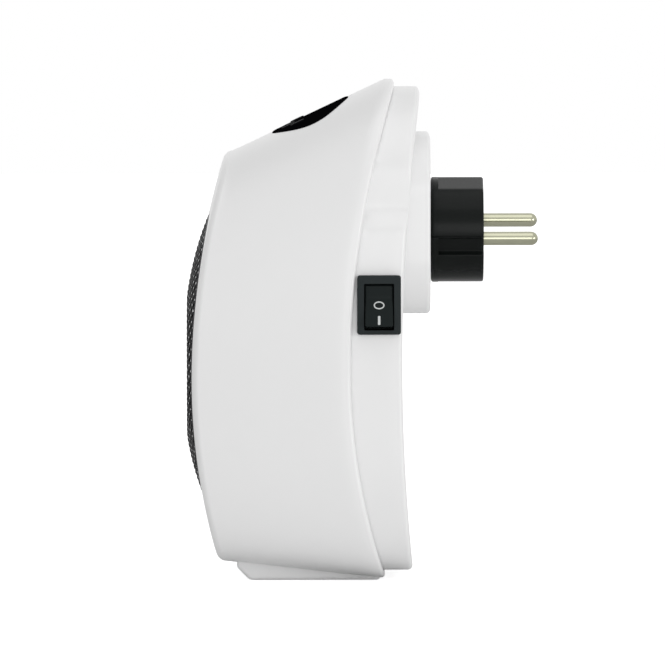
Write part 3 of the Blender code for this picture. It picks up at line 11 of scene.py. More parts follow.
import bmesh
import bpy
import numpy as np
from mathutils import Matrix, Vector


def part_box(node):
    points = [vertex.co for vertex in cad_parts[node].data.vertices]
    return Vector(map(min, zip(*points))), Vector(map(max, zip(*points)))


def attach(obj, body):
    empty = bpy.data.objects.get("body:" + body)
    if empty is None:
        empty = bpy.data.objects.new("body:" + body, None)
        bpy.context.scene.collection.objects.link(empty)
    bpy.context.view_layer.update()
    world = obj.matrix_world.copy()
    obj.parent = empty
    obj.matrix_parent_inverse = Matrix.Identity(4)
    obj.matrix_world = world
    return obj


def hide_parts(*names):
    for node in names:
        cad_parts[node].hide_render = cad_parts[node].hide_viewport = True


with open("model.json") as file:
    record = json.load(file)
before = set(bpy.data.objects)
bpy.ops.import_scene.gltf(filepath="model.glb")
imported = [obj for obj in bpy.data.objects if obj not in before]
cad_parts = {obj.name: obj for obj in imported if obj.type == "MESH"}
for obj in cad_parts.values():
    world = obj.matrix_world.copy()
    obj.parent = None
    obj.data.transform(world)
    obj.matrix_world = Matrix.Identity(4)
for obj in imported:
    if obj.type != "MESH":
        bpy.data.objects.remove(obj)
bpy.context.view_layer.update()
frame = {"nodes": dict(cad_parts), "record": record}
nodes = frame["nodes"]
print("nodes in the frame:", len(nodes))

# %% [markdown]
# ## The sizes that the pieces share
# The model stands in its own frame: the middle of the plug's flat face is the origin, the wall is the plane
# y = 0, and the warm air leaves towards -Y. These are the real sizes of the housing, in millimetres turned
# to metres. They follow the CAD's to about a millimetre, so a fine surface lies on its plain solid. Only
# the front edge is clearly sharper, and the hood's bottom ends a hair above the foot's.

# %% Sizes of the housing
MM = 0.001
WALL = 2.2 * MM
HOUSING_TOP, HOUSING_BOTTOM, HALF_WIDTH = 52.39 * MM, -120.3 * MM, 58.0 * MM
FRONT_TOP, FRONT_BOTTOM, FRONT_HALF_WIDTH = 26.2 * MM, -114.2 * MM, 54.5 * MM
WIDEST_HEIGHT = -57.0 * MM
UPPER_SQUARENESS, LOWER_SQUARENESS, POINT_SPREAD = 3.4, 5.0, 0.85
FRONT_EDGE_RADIUS = 2.4 * MM
RIM_DEPTH_SHARE = 0.07
SEAM_VERTEX_Y, SEAM_VERTEX_Z = -46.7 * MM, -46.8 * MM
SEAM_UPPER_RADIUS, SEAM_LOWER_RADIUS = 310.0 * MM, 217.0 * MM
FRONT_VERTEX_Y, FRONT_VERTEX_Z = -102.2 * MM, -50.3 * MM
FRONT_UPPER_RADIUS, FRONT_LOWER_RADIUS, SIDE_BOW = 245.0 * MM, 215.0 * MM, 0.4 * MM
REAR_VERTEX_Y, REAR_VERTEX_Z, REAR_RADIUS = -28.8 * MM, -45.0 * MM, 675.0 * MM


def seam_y(z):
    """Rear edge of the hood: two parabolas that meet at its foremost point."""
    radius = np.where(z > SEAM_VERTEX_Z, SEAM_UPPER_RADIUS, SEAM_LOWER_RADIUS)
    return SEAM_VERTEX_Y + (z - SEAM_VERTEX_Z) ** 2 / (2 * radius)


def front_y(z):
    """Front face, bowed forwards: two parabolas that meet at its foremost line."""
    radius = np.where(z > FRONT_VERTEX_Z, FRONT_UPPER_RADIUS, FRONT_LOWER_RADIUS)
    return FRONT_VERTEX_Y + (z - FRONT_VERTEX_Z) ** 2 / (2 * radius)


def face_y(outline_xz):
    """Front face at points (x, z): the bowed front, drawn back towards both sides as the square of x."""
    x, z = outline_xz[..., 0], outline_xz[..., 1]
    return front_y(z) + SIDE_BOW * (x / FRONT_HALF_WIDTH) ** 2


def rear_y(z):
    """Rear wall, hollow towards the room wall, also a parabola."""
    return REAR_VERTEX_Y + (z - REAR_VERTEX_Z) ** 2 / (2 * REAR_RADIUS)


def ramp(start, end, share):
    """Straight blend from start to end."""
    return start + (end - start) * share


# %% [markdown]
# ## Surfaces from arrays
# Every new shell below is a grid of points: one direction runs round the piece and the other along it. The
# helpers number the quads of such a grid, put points and quads into a mesh, shade it smooth and tell the
# frame which part it belongs to. A tube has its ends closed by a face. A ring's last loop joins its first.

# %% Mesh helpers
MERGE_DISTANCE, SHARP_DEGREES = 0.001 * MM, 30
CLOSING_SHARE = 0.1  # last loop of a flat end, as a share of its radius


def grid_quads(rows, columns, wrap_rows=False):
    """Corner numbers of the quads of a grid of closed rows, whose points are stored row by row."""
    row, column = np.meshgrid(np.arange(rows if wrap_rows else rows - 1), np.arange(columns), indexing="ij")
    next_row, next_column = (row + 1) % rows, (column + 1) % columns
    corners = (row * columns + column, row * columns + next_column,
               next_row * columns + next_column, next_row * columns + column)
    return np.stack(corners, axis=-1).reshape(-1, 4)


def repeated(quads, points_each, copies):
    """The same quads for many copies of a piece whose points follow each other."""
    return (points_each * np.arange(copies)[:, None, None] + quads).reshape(-1, 4)


def new_mesh(name, points, quads, extra_faces=()):
    """Object from an array of points and an array of quads, plus a few faces of any other size."""
    mesh = bpy.data.meshes.new(name)
    faces = [tuple(face) for face in quads.tolist()] + [tuple(face) for face in extra_faces]
    mesh.from_pydata(np.asarray(points).reshape(-1, 3).tolist(), [], faces)
    mesh.update()
    made = bpy.data.objects.new(name, mesh)
    bpy.context.scene.collection.objects.link(made)
    return made


def outwards(piece, sharp_degrees=SHARP_DEGREES):
    """Merges doubled points, points every face outwards and shades the piece smooth."""
    shape = bmesh.new()
    shape.from_mesh(piece.data)
    bmesh.ops.remove_doubles(shape, verts=shape.verts, dist=MERGE_DISTANCE)
    bmesh.ops.recalc_face_normals(shape, faces=shape.faces)
    shape.to_mesh(piece.data)
    shape.free()
    piece.data.shade_smooth()
    piece.data.set_sharp_from_angle(angle=math.radians(sharp_degrees))
    return piece


def tube(name, loops, closed_end=True):
    """Piece from loops of equally many points. A face closes the first loop and, as a rule, the last."""
    rows, count = len(loops), len(loops[0])
    ends = [range(count), range((rows - 1) * count, rows * count)] if closed_end else [range(count)]
    return outwards(new_mesh(name, loops, grid_quads(rows, count), ends))


def ring(name, loops, sharp_degrees=SHARP_DEGREES):
    """Piece from loops of equally many points, the last joined to the first."""
    quads = grid_quads(len(loops), len(loops[0]), wrap_rows=True)
    return outwards(new_mesh(name, loops, quads), sharp_degrees)


def dress(piece, finish, body, replaced=()):
    """Gives a new piece its material, its body and the nodes that it stands for."""
    piece.data.materials.clear()
    piece.data.materials.append(finish)
    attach(piece, body)
    for node in replaced:
        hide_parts(node)
    print(f"{piece.name}: {len(piece.data.polygons)} faces")
    return piece


# %% Outline helpers
def quarter(steps):
    """Angles of a quarter turn, both ends included."""
    return np.linspace(0, np.pi / 2, steps)


def corner_turns(steps):
    """Angles of four round corners, each a quarter turn."""
    return np.concatenate([quarter(steps) + start * np.pi / 2 for start in range(4)])


def full_turn(steps, start=0.0):
    """Angles of a full turn in even steps, starting at a share of a step."""
    return 2 * np.pi * (np.arange(steps) + start) / steps


def unit_circle(turns):
    """Points of the unit circle at some angles, in two columns."""
    return np.stack([np.cos(turns), np.sin(turns)], axis=-1)


def fillet(radius, steps=6):
    """Rounded edge, from its side to its face: pairs of how far it is drawn in and how far it lies below."""
    return [(radius * (1 - math.cos(turn)), radius * (1 - math.sin(turn))) for turn in quarter(steps)]


def circle(radius, steps=48):
    """Circle as an array of (x, z)."""
    return radius * unit_circle(full_turn(steps))


def rounded(half_width, half_height, radius, steps=9):
    """Rectangle with round corners, as an array: a quarter circle about each corner's own centre."""
    corner = np.array([half_width - radius, half_height - radius])
    signs = np.repeat([(1, 1), (-1, 1), (-1, -1), (1, -1)], steps, axis=0)
    return corner * signs + radius * unit_circle(corner_turns(steps))


def loop(outline_xz, y):
    """Loop of (x, y, z) points from an outline and the depth of each of its points."""
    x, z = outline_xz[..., 0], outline_xz[..., 1]
    return np.stack([x, np.broadcast_to(y, x.shape), z], axis=-1)


def side_loop(outline_yz, x):
    """Loop of (x, y, z) points from an outline seen from the side and the x of each of its points."""
    return np.column_stack([np.broadcast_to(x, len(outline_yz)), outline_yz])


# %% [markdown]
# ## Materials
# Each material starts from the real one: a satin white ABS hood, a black ABS plug, a black nylon switch, a
# satin black lens, an expanded steel mesh and nickel-plated pins. Colours are written as sRGB hex values,
# and one function turns them to the linear values that Blender wants.

# %% Material helpers
COLOUR_A, COLOUR_B, COLOUR_RESULT = 6, 7, 2  # the colour sockets of a Mix node, after its other kinds
MOTTLE_TO_GRAIN = 20


def linear(hex_code):
    """Linear RGBA of an sRGB hex colour."""
    values = np.array([int(hex_code[i:i + 2], 16) for i in (0, 2, 4)]) / 255
    low = values <= 0.04045
    return (*np.where(low, values / 12.92, ((values + 0.055) / 1.055) ** 2.4), 1.0)


def add_node(material, kind, links=(), **settings):
    """Adds a node. Settings name its properties or input sockets, and links are (socket, source output)."""
    node = material.node_tree.nodes.new(kind)
    for name, value in settings.items():
        socket = node.inputs.get(name.replace("_", " ").title()) if not hasattr(node, name) else None
        if socket is not None:
            socket.default_value = value
        else:
            setattr(node, name, value)
    for socket, source in links:
        material.node_tree.links.new(source, node.inputs[socket])
    return node


def base_material(name, hex_code, roughness, metallic=0.0, specular=0.5, ior=1.5):
    """Principled material whose evenly valued sockets are set directly. A metal keeps the default IOR."""
    material = bpy.data.materials.new(name)
    material.use_nodes = True
    shader = material.node_tree.nodes["Principled BSDF"]
    for socket, value in (("Base Color", linear(hex_code)), ("Roughness", roughness), ("Metallic", metallic),
                          ("Specular IOR Level", specular)):
        shader.inputs[socket].default_value = value
    if not metallic:
        shader.inputs["IOR"].default_value = ior
    return material, shader


def grained(name, hex_code, roughness, size, height, contrast, spread, **base):
    """Base material with a fine grain from noise on Object coordinates: bumps of a real size and height in
    metres. The same noise, much coarser, mottles the colour by a contrast and the roughness by a spread."""
    material, shader = base_material(name, hex_code, roughness, **base)
    links = material.node_tree.links
    place = add_node(material, "ShaderNodeTexCoord").outputs["Object"]
    fine = add_node(material, "ShaderNodeTexNoise", [("Vector", place)], scale=1 / size, detail=2.0)
    bump = add_node(material, "ShaderNodeBump", [("Height", fine.outputs["Fac"])],
                    distance=height, strength=1.0)
    links.new(bump.outputs["Normal"], shader.inputs["Normal"])
    broad = add_node(material, "ShaderNodeTexNoise", [("Vector", place)], scale=1 / (MOTTLE_TO_GRAIN * size),
                     detail=3.0)
    colour = np.array(linear(hex_code))
    mixed = add_node(material, "ShaderNodeMix", [("Factor", broad.outputs["Fac"])], data_type="RGBA")
    mixed.inputs[COLOUR_A].default_value = tuple(colour * (1 - contrast))
    mixed.inputs[COLOUR_B].default_value = tuple(np.minimum(colour * (1 + contrast), 1))
    links.new(mixed.outputs[COLOUR_RESULT], shader.inputs["Base Color"])
    if spread:
        rough = add_node(material, "ShaderNodeMapRange", [("Value", broad.outputs["Fac"])],
                         to_min=roughness - spread, to_max=roughness + spread)
        links.new(rough.outputs["Result"], shader.inputs["Roughness"])
    return material


# %% [markdown]
# Each line gives a colour, a roughness, the grain's size and height, and how much both of the first vary.
# The plastics are injection moulded. The white hood left a finely blasted tool, so it is satin: its
# highlights are wide and soft. The plug's black ABS left a smoother one. The nylon of the switch and the
# lens's hard coat have hardly any mirror reflection.

# %% Plastics
white_abs = grained("satin moulded white ABS", "EDEDED", 0.30, 0.45 * MM, 0.006 * MM, 0.006, 0.03)
black_abs = grained("satin moulded black ABS", "232527", 0.30, 0.40 * MM, 0.010 * MM, 0.10, 0.05)
plug_black = grained("polished moulded black ABS", "111413", 0.24, 0.40 * MM, 0.006 * MM, 0.10, 0.04,
                     specular=0.10)
switch_black = grained("matt moulded black nylon", "2C3132", 0.38, 0.35 * MM, 0.012 * MM, 0.08, 0.05,
                       specular=0.05)
rocker_black = grained("satin moulded black nylon", "1E2323", 0.34, 0.35 * MM, 0.008 * MM, 0.08, 0.04,
                       specular=0.05)
lens_black = grained("satin hard-coated black acrylic", "08080A", 0.42, 3.0 * MM, 0.004 * MM, 0.05, 0.02,
                     specular=0.0, ior=1.49)
button_black = grained("satin moulded black caps", "131416", 0.42, 0.30 * MM, 0.008 * MM, 0.08, 0.04,
                       specular=0.01)
mark_white = grained("pad-printed white ink", "C9CCCB", 0.55, 0.15 * MM, 0.004 * MM, 0.04, 0.0)
dark_resin = grained("glass-filled moulded resin", "1B1C1E", 0.55, 0.30 * MM, 0.020 * MM, 0.18, 0.06)
print("plastics:", len(bpy.data.materials))

# %% [markdown]
# The metals keep the default IOR and are told apart by colour and by how they were worked. The rim is steel
# under black enamel, the pins are turned and nickel plated, and the fins are folded from bare strip.

# %% Metals
rim_steel = grained("satin black enamelled steel", "222325", 0.40, 0.35 * MM, 0.010 * MM, 0.08, 0.05,
                    specular=0.04)
nickel = grained("nickel-plated brass", "ACAC97", 0.20, 0.25 * MM, 0.004 * MM, 0.05, 0.05, metallic=1.0)
zinc = grained("zinc-plated steel", "9EA1A6", 0.32, 0.20 * MM, 0.006 * MM, 0.06, 0.06, metallic=1.0)
brass = grained("stamped brass", "C8A860", 0.30, 0.30 * MM, 0.005 * MM, 0.06, 0.05, metallic=1.0)
aluminium = grained("rolled aluminium strip", "D3D4D6", 0.36, 0.20 * MM, 0.008 * MM, 0.05, 0.06, metallic=1.0)
print("with metals:", len(bpy.data.materials))

# %% [markdown]
# The mesh is expanded from a strip and enamelled black, with bright glints painted into its colour where its
# strands meet: a painted highlight. The product of two cosines, one for each direction of the diamonds, is -1
# just at those meeting points, and noise of a few millimetres makes the painted glints uneven.

# %% The mesh's painted glints
DIAMOND_WIDTH, DIAMOND_HEIGHT, GRILLE_CENTRE_Z = 6.4 * MM, 3.8 * MM, -43.4 * MM
# The light colour below is a painted highlight: bright glints painted into the enamel where the strands meet.
GLINT_NOISE_SIZE, GLINT_STARTS, GLINT_FULL, ENAMEL_HEX, PAINTED_GLINT_HEX = 2.5 * MM, -1.28, -1.42, "1C1D1E", "E6E7E8"
mesh_steel, shader = base_material("black enamelled expanded steel", ENAMEL_HEX, 0.42, specular=0.05)
position = add_node(mesh_steel, "ShaderNodeTexCoord").outputs["Object"]
axes = add_node(mesh_steel, "ShaderNodeSeparateXYZ", [("Vector", position)])
waves = []
for axis, pitch, start in (("X", DIAMOND_WIDTH, 0.0), ("Z", DIAMOND_HEIGHT, GRILLE_CENTRE_Z)):
    phase = add_node(mesh_steel, "ShaderNodeMath", [(0, axes.outputs[axis])], operation="MULTIPLY_ADD")
    phase.inputs[1].default_value = 2 * math.pi / pitch
    phase.inputs[2].default_value = -2 * math.pi * start / pitch
    wave = add_node(mesh_steel, "ShaderNodeMath", [(0, phase.outputs[0])], operation="COSINE")
    waves.append(wave.outputs[0])
knuckles = add_node(mesh_steel, "ShaderNodeMath", enumerate(waves), operation="MULTIPLY")
uneven = add_node(mesh_steel, "ShaderNodeTexNoise", [("Vector", position)], scale=1 / GLINT_NOISE_SIZE, detail=2.0)
# Painted highlight mask: highest at the strand crossings and broken up by noise.
glint_field = add_node(mesh_steel, "ShaderNodeMath", [(0, knuckles.outputs[0]), (1, uneven.outputs["Fac"])],
                operation="SUBTRACT")
glint_share = add_node(mesh_steel, "ShaderNodeMapRange", [("Value", glint_field.outputs[0])],
                from_min=GLINT_STARTS, from_max=GLINT_FULL)
blend = add_node(mesh_steel, "ShaderNodeMix", [("Factor", glint_share.outputs["Result"])], data_type="RGBA")
blend.inputs[COLOUR_A].default_value = linear(ENAMEL_HEX)
blend.inputs[COLOUR_B].default_value = linear(PAINTED_GLINT_HEX)
mesh_steel.node_tree.links.new(blend.outputs[COLOUR_RESULT], shader.inputs["Base Color"])
print(mesh_steel.name, "has", len(mesh_steel.node_tree.nodes), "nodes")

# %% [markdown]
# Inside, a glass-fibre board under solder mask, a blue relay case, a yellow film capacitor and a potted
# display show only through the mesh and the air slots, so grained plastics are enough.

# %% Inside finishes
finish_of_slot = {
    "white_abs": white_abs, "black_abs": black_abs, "gloss_black": lens_black, "grille_steel": mesh_steel,
    "nickel": nickel, "zinc_steel": zinc, "brass": brass, "heater_aluminium": aluminium,
    "heatproof_resin": dark_resin,
}
for slot_name, title, hex_code, roughness in (
    ("board_green", "solder-masked glass-fibre board", "1E6B3E", 0.40),
    ("relay_blue", "moulded blue relay case", "26509A", 0.35),
    ("film_yellow", "moulded yellow capacitor case", "D9A52C", 0.38),
    ("display_grey", "potted grey display", "86888C", 0.35),
    ("fan_resin", "moulded grey fan resin", "2C2D30", 0.42),
):
    finish_of_slot[slot_name] = grained(title, hex_code, roughness, 0.40 * MM, 0.010 * MM, 0.08, 0.05)
for row in frame["record"]["subparts"]:
    carried = nodes[row["node"]]
    carried.data.materials.clear()
    carried.data.materials.append(finish_of_slot[row["material_slot"]])
print("finishes:", len(finish_of_slot), "on", len(nodes), "nodes")

# %% [markdown]
# ## The hood
# The hood is one deep moulding. Seen from the front it is a superellipse, rounder at the top than at the
# foot, and it tapers towards the front, which is what makes the roof slope. Its skin is a grid of closed
# loops: the loops start on the inside of the rear rim, go round the rim, run forwards, turn over the
# rounded front edge, cross the bowed front to the mesh opening, go through it and come back inside. Because
# the last loop joins the first, the wall is closed and has its real thickness.

# %% The hood's outline
ROUND_POINTS = 240
angles = full_turn(ROUND_POINTS, 0.5)


def signed_power(value, power):
    """Power of the size of a value, with the value's sign."""
    return np.sign(value) * np.abs(value) ** power


def outline(top, bottom, half_width, at=angles):
    """Superellipse as an array of (x, z): |x/a|^n + |z/b|^n = 1, with n and b changing at the widest line."""
    across, up = signed_power(unit_circle(at), POINT_SPREAD).T
    height = np.where(up > 0, top - WIDEST_HEIGHT, WIDEST_HEIGHT - bottom)
    power = np.where(up > 0, UPPER_SQUARENESS, LOWER_SQUARENESS)
    reach = (np.abs(across) ** power + np.abs(up) ** power) ** (-1 / power)
    return np.stack([half_width * reach * across, WIDEST_HEIGHT + height * reach * up], axis=-1)


def hood_outline(taper, inset, at=angles):
    """The hood's outline between its rear rim (taper 0) and its front (taper 1)."""
    top = ramp(HOUSING_TOP, FRONT_TOP, taper) - inset
    bottom = ramp(HOUSING_BOTTOM, FRONT_BOTTOM, taper) + inset
    return outline(top, bottom, ramp(HALF_WIDTH, FRONT_HALF_WIDTH, taper) - inset, at)


TAPER_END = 1 - FRONT_EDGE_RADIUS / (SEAM_VERTEX_Y - FRONT_VERTEX_Y)
print("taper of the front edge:", round(TAPER_END, 3))

# %% The mesh opening
GRILLE_HALF, GRILLE_MIDDLE = MM * np.array([44.0, 49.2]), np.array([0, GRILLE_CENTRE_Z])
GRILLE_SQUARENESS = 2.5


def opening(growth):
    """The mesh opening's outline, a superellipse, grown or shrunk by a length."""
    return GRILLE_MIDDLE + (GRILLE_HALF + growth) * signed_power(unit_circle(angles), 2 / GRILLE_SQUARENESS)


# %% The hood's skin
RIM_ROUND, OPENING_ROUND, HOOD_SHARP = 1.6 * MM, 0.9 * MM, 40
EDGE_STEPS, SIDE_STEPS, FACE_STEPS, ROUND_STEPS = 14, 24, 22, 5


def seam_loop(shape, ahead=0.0):
    """Loop at a depth in front of the seam."""
    return loop(shape, seam_y(shape[:, 1]) - ahead)


def face_loop(shape, behind=0.0):
    """Loop at a depth behind the front face."""
    return loop(shape, face_y(shape) + behind)


def side_ends(back, front):
    """Depths of the hood's side: behind, just before the seam, and in front, at the front edge."""
    y_back = ramp(seam_y(back[:, 1]), front_y(back[:, 1]), RIM_DEPTH_SHARE)
    return y_back, face_y(front) + FRONT_EDGE_RADIUS


def hood_side(share):
    """Loop on the hood's side, from the rim (share 0) to the front edge (share 1). The side keeps its full
    size over the first few per cent of the depth, and then runs straight to the front edge's start."""
    back, front = hood_outline(0, 0), hood_outline(TAPER_END, 0)
    return loop(ramp(back, front, share), ramp(*side_ends(back, front), share))


loops = [seam_loop(hood_outline(0, inset), drop) for inset, drop in fillet(RIM_ROUND, ROUND_STEPS)[::-1]]
loops += [hood_side(share) for share in np.linspace(0, 1, SIDE_STEPS)]
loops += [face_loop(hood_outline(TAPER_END, inset), drop)
          for inset, drop in fillet(FRONT_EDGE_RADIUS, EDGE_STEPS)[1:]]
face_start, face_end = loops[-1][:, [0, 2]], opening(OPENING_ROUND)
loops += [face_loop(ramp(face_start, face_end, share)) for share in np.linspace(0, 1, FACE_STEPS)[1:]]
loops += [face_loop(opening(growth), depth) for growth, depth in fillet(OPENING_ROUND, ROUND_STEPS)[::-1][1:]]
loops += [face_loop(opening(0), WALL), face_loop(hood_outline(TAPER_END, FRONT_EDGE_RADIUS), WALL)]
loops += [face_loop(hood_outline(TAPER_END, WALL), FRONT_EDGE_RADIUS), seam_loop(hood_outline(0, WALL))]
hood = dress(ring("hood", loops, HOOD_SHARP), white_abs, "housing", ["front_shell"])

# %% [markdown]
# ## The foot
# The heater can also stand on its chin, so a flat foot is moulded under it. Its front is cut off at a
# slant. It is an outline seen from the side, drawn out to both sides, with its edges rounded by a Bevel.

# %% The foot
FOOT_HALF_WIDTH, FOOT_EDGE, FOOT_EDGE_STEPS = 34.0 * MM, 1.2 * MM, 4
FOOT_PROFILE = MM * np.array([(-36.5, -120.4), (-36.5, -112.4), (-86.4, -112.4), (-86.4, -115.9),
                              (-81.9, -120.4)])
foot = tube("hood_foot", [side_loop(FOOT_PROFILE, x) for x in (-FOOT_HALF_WIDTH, FOOT_HALF_WIDTH)])
edges = foot.modifiers.new("rounded edges", "BEVEL")
edges.width = FOOT_EDGE
edges.segments = FOOT_EDGE_STEPS
edges.limit_method = "ANGLE"
edges.harden_normals = True
dress(foot, white_abs, "housing", ["front_shell"])

# %% [markdown]
# ## The rear cover
# The rear half is a shallow dish that slips a little way into the hood. Both of its flanks are drawn in
# above a ledge, so that two fingers can grip the heater beside the plug. Writing the flank as the smaller
# of two widths does that: the outline's own width, and a limit that opens out by 45 degrees below the
# ledge. A smooth minimum rounds the corners where the two meet. Air slots, screw wells and the opening
# under the plug boss are cut out afterwards, because they don't follow the grid.

# %% The rear cover's form
REAR_INSET, REAR_EDGE_RADIUS, LIP_REACH, SEAM_STEP = 2.6 * MM, 1.8 * MM, 2.6 * MM, 0.2 * MM
GRIP_HALF_WIDTH, GRIP_BOTTOM, GRIP_BLEND = 48.0 * MM, 8.6 * MM, 0.7 * MM
REAR_MIDDLE, WALL_SHARES = np.array([0.0, REAR_VERTEX_Z]), np.linspace(0.04, 1, 9)
COVER_POINTS = 600
fine_angles = full_turn(COVER_POINTS, 0.5)


def gripped(outline_xz, inset=0.0):
    """Width |x| becomes the smooth minimum of itself and of the grip's limit: -k log(e^(-a/k) + e^(-b/k))."""
    x, z = outline_xz.T
    limit = GRIP_HALF_WIDTH - inset + GRIP_BLEND * np.logaddexp(0, (GRIP_BOTTOM - inset - z) / GRIP_BLEND)
    width = -GRIP_BLEND * np.logaddexp(-np.abs(x) / GRIP_BLEND, -limit / GRIP_BLEND)
    return np.stack([np.sign(x) * width, z], axis=-1)


def rear_outline(inset):
    """The rear cover's own outline, inside the hood's."""
    return hood_outline(0, REAR_INSET + inset, fine_angles)


def rear_loop(shape, ahead):
    """Loop at a depth in front of the rear wall."""
    return loop(shape, rear_y(shape[:, 1]) - ahead)


def wall_loops(shape, ahead, shares):
    """Loops across the rear wall, at shares of the way from its middle to the given outline."""
    return [rear_loop(REAR_MIDDLE + (shape - REAR_MIDDLE) * share, ahead) for share in shares]


loops = wall_loops(gripped(rear_outline(REAR_EDGE_RADIUS)), 0, WALL_SHARES)
loops += [rear_loop(gripped(rear_outline(inset)), depth)
          for inset, depth in fillet(REAR_EDGE_RADIUS, steps=7)[::-1][1:]]
side = loops[-1]
loops += [loop(side[:, [0, 2]], ramp(side[:, 1], seam_y(side[:, 2]), share))
          for share in (0.25, 0.5, 0.75, 1.0)]
lip, lip_inside = rear_outline(0), rear_outline(WALL)
inner = gripped(lip_inside, WALL)
loops += [seam_loop(lip, SEAM_STEP), seam_loop(lip, LIP_REACH), seam_loop(lip_inside, LIP_REACH)]
loops += [seam_loop(lip_inside, WALL + SEAM_STEP), seam_loop(inner, WALL)]
loops += wall_loops(inner, WALL, WALL_SHARES[::-1])
cover = tube("rear_cover", loops)
print("rear cover before its holes:", len(cover.data.polygons), "faces")


# %% Cutting helpers
def stadium(length, height, steps=8):
    """Slot outline with round ends, as an array of (x, z)."""
    turns = np.linspace(-np.pi / 2, np.pi / 2, steps)
    right = height / 2 * unit_circle(turns) + ((length - height) / 2, 0)
    return np.concatenate([right, -right])


def cutters(name, shape, places, start, end):
    """Prisms along Y of one outline at many places, as one mesh to cut with."""
    count, copies = len(shape), len(places)
    spread = shape + np.asarray(places)[:, None]
    points = np.stack([loop(spread, start), loop(spread, end)], axis=1)
    caps = np.arange(2 * count * copies).reshape(-1, count).tolist()
    return outwards(new_mesh(name, points, repeated(grid_quads(2, count), 2 * count, copies), caps))


def cut(piece, *tools):
    """Takes tools out of a piece, keeps the result as its mesh and removes the tools."""
    for tool in tools:
        knife = piece.modifiers.new("cut", "BOOLEAN")
        knife.operation = "DIFFERENCE"
        knife.object = tool
    ready = piece.evaluated_get(bpy.context.evaluated_depsgraph_get())
    result = bpy.data.meshes.new_from_object(ready)
    piece.modifiers.clear()
    piece.data = result
    for tool in tools:
        bpy.data.objects.remove(tool)
    result.shade_smooth()
    result.set_sharp_from_angle(angle=math.radians(SHARP_DEGREES))
    return piece


# %% Holes of the rear cover
VENT_LENGTH, VENT_HEIGHT, VENT_TOP = 19.0 * MM, 3.2 * MM, -42.0 * MM
VENT_PITCH_X, VENT_PITCH_Z, VENT_ROWS = 22.0 * MM, 7.0 * MM, 7
WELL_RADIUS, WELL_DEPTH = 3.2 * MM, 6.0 * MM
SCREW_PLACES = MM * np.array([(33.0, 30.0), (-33.0, 30.0), (40.5, -105.5), (-40.5, -105.5)])
BOSS_HALF, BOSS_CORNER, BOSS_WALL = 31.3 * MM, 20.0 * MM, 3.0 * MM
BOSS_CENTRE, BOSS_FACE, DEEP, SHALLOW = 2.5 * MM, -18.7 * MM, -60.0 * MM, -10.0 * MM
vent_places = [(x * VENT_PITCH_X, VENT_TOP - row * VENT_PITCH_Z)
               for x in (-1, 0, 1) for row in range(VENT_ROWS)]
half = BOSS_HALF - BOSS_WALL / 2
under_boss = rounded(half, half, BOSS_CORNER - BOSS_WALL / 2, steps=16)
cut(cover, cutters("vents", stadium(VENT_LENGTH, VENT_HEIGHT), vent_places, DEEP, SHALLOW),
    cutters("wells", circle(WELL_RADIUS), SCREW_PLACES, DEEP, SHALLOW),
    cutters("under_boss", under_boss, [(0, BOSS_CENTRE)], DEEP, SHALLOW))
dress(cover, white_abs, "housing", ["rear_shell"])

# %% [markdown]
# ## The plug boss and the screw wells
# A rounded square block carries the plug. It is a hollow box: loops run from the back of the plug's hole,
# round the hole's edge, across the face, over the rounded outer edge, down the side and back up the inside.

# %% The plug boss
PLUG_HOLE_RADIUS, HOLE_EDGE, BOSS_EDGE, BOSS_ROOT, BOSS_STEPS = 13.5 * MM, 0.4 * MM, 1.5 * MM, -32.0 * MM, 40


def boss_loop(inset, y):
    """Loop of the rounded square, drawn in by an inset."""
    shape = rounded(BOSS_HALF - inset, BOSS_HALF - inset, BOSS_CORNER - inset, BOSS_STEPS)
    return loop(shape + (0, BOSS_CENTRE), y)


def hole_loop(growth, y):
    """Loop of the plug's round hole, at the angles of the square's corners."""
    return loop((PLUG_HOLE_RADIUS + growth) * unit_circle(corner_turns(BOSS_STEPS)), y)


inside_y = BOSS_FACE - BOSS_WALL
loops = [hole_loop(0, inside_y), hole_loop(0, BOSS_FACE - HOLE_EDGE), hole_loop(HOLE_EDGE, BOSS_FACE)]
loops += [boss_loop(inset, BOSS_FACE - depth) for inset, depth in fillet(BOSS_EDGE, steps=7)[::-1]]
loops += [boss_loop(0, BOSS_ROOT), boss_loop(BOSS_WALL, BOSS_ROOT), boss_loop(BOSS_WALL, inside_y)]
dress(ring("plug_boss", loops), white_abs, "housing", ["rear_shell"])

# %% Screw wells
WELL_WALL, WELL_FLOOR, WELL_OVERLAP, SCREW_HOLE = 0.8 * MM, 1.0 * MM, 0.02 * MM, 1.8 * MM
for number, (x, z) in enumerate(SCREW_PLACES, 1):
    mouth, floor = rear_y(z) - REAR_EDGE_RADIUS, rear_y(z) - WELL_DEPTH
    lining, outer = WELL_RADIUS - WELL_OVERLAP, WELL_RADIUS + WELL_WALL
    profile = [(lining, mouth), (outer, mouth), (outer, floor - WELL_FLOOR),
               (SCREW_HOLE, floor - WELL_FLOOR), (SCREW_HOLE, floor), (lining, floor)]
    well = ring(f"screw_well_{number}", [loop(circle(radius) + (x, z), y) for radius, y in profile])
    dress(well, white_abs, "housing", ["rear_shell"])

# %% [markdown]
# ## The case screws
# Four self-tapping screws stand at the bottom of the wells and hold the two halves together. Each is turned
# from one profile, a pan head over a plain shank, and a cross recess is cut into its head. Their depths are
# the CAD's.

# %% The case screws
SHANK_RADIUS, HEAD_DEPTH = 1.4 * MM, 1.6 * MM
RECESS_LONG, RECESS_SHORT, RECESS_DEPTH = 1.5 * MM, 0.45 * MM, 0.9 * MM
HEAD_PROFILE = [(0.04, 0.0), (0.35, 0.03), (0.62, 0.13), (0.82, 0.34), (0.95, 0.68), (1.0, 1.0)]
SQUARE, TURNED_STEPS = np.array([(-1, -1), (1, -1), (1, 1), (-1, 1)]), 64


def turned(name, profile, centre):
    """Surface of revolution about a line along Y through centre (x, z): each (radius, y) makes one circle."""
    return tube(name, [loop(circle(radius, TURNED_STEPS) + centre, y) for radius, y in profile])


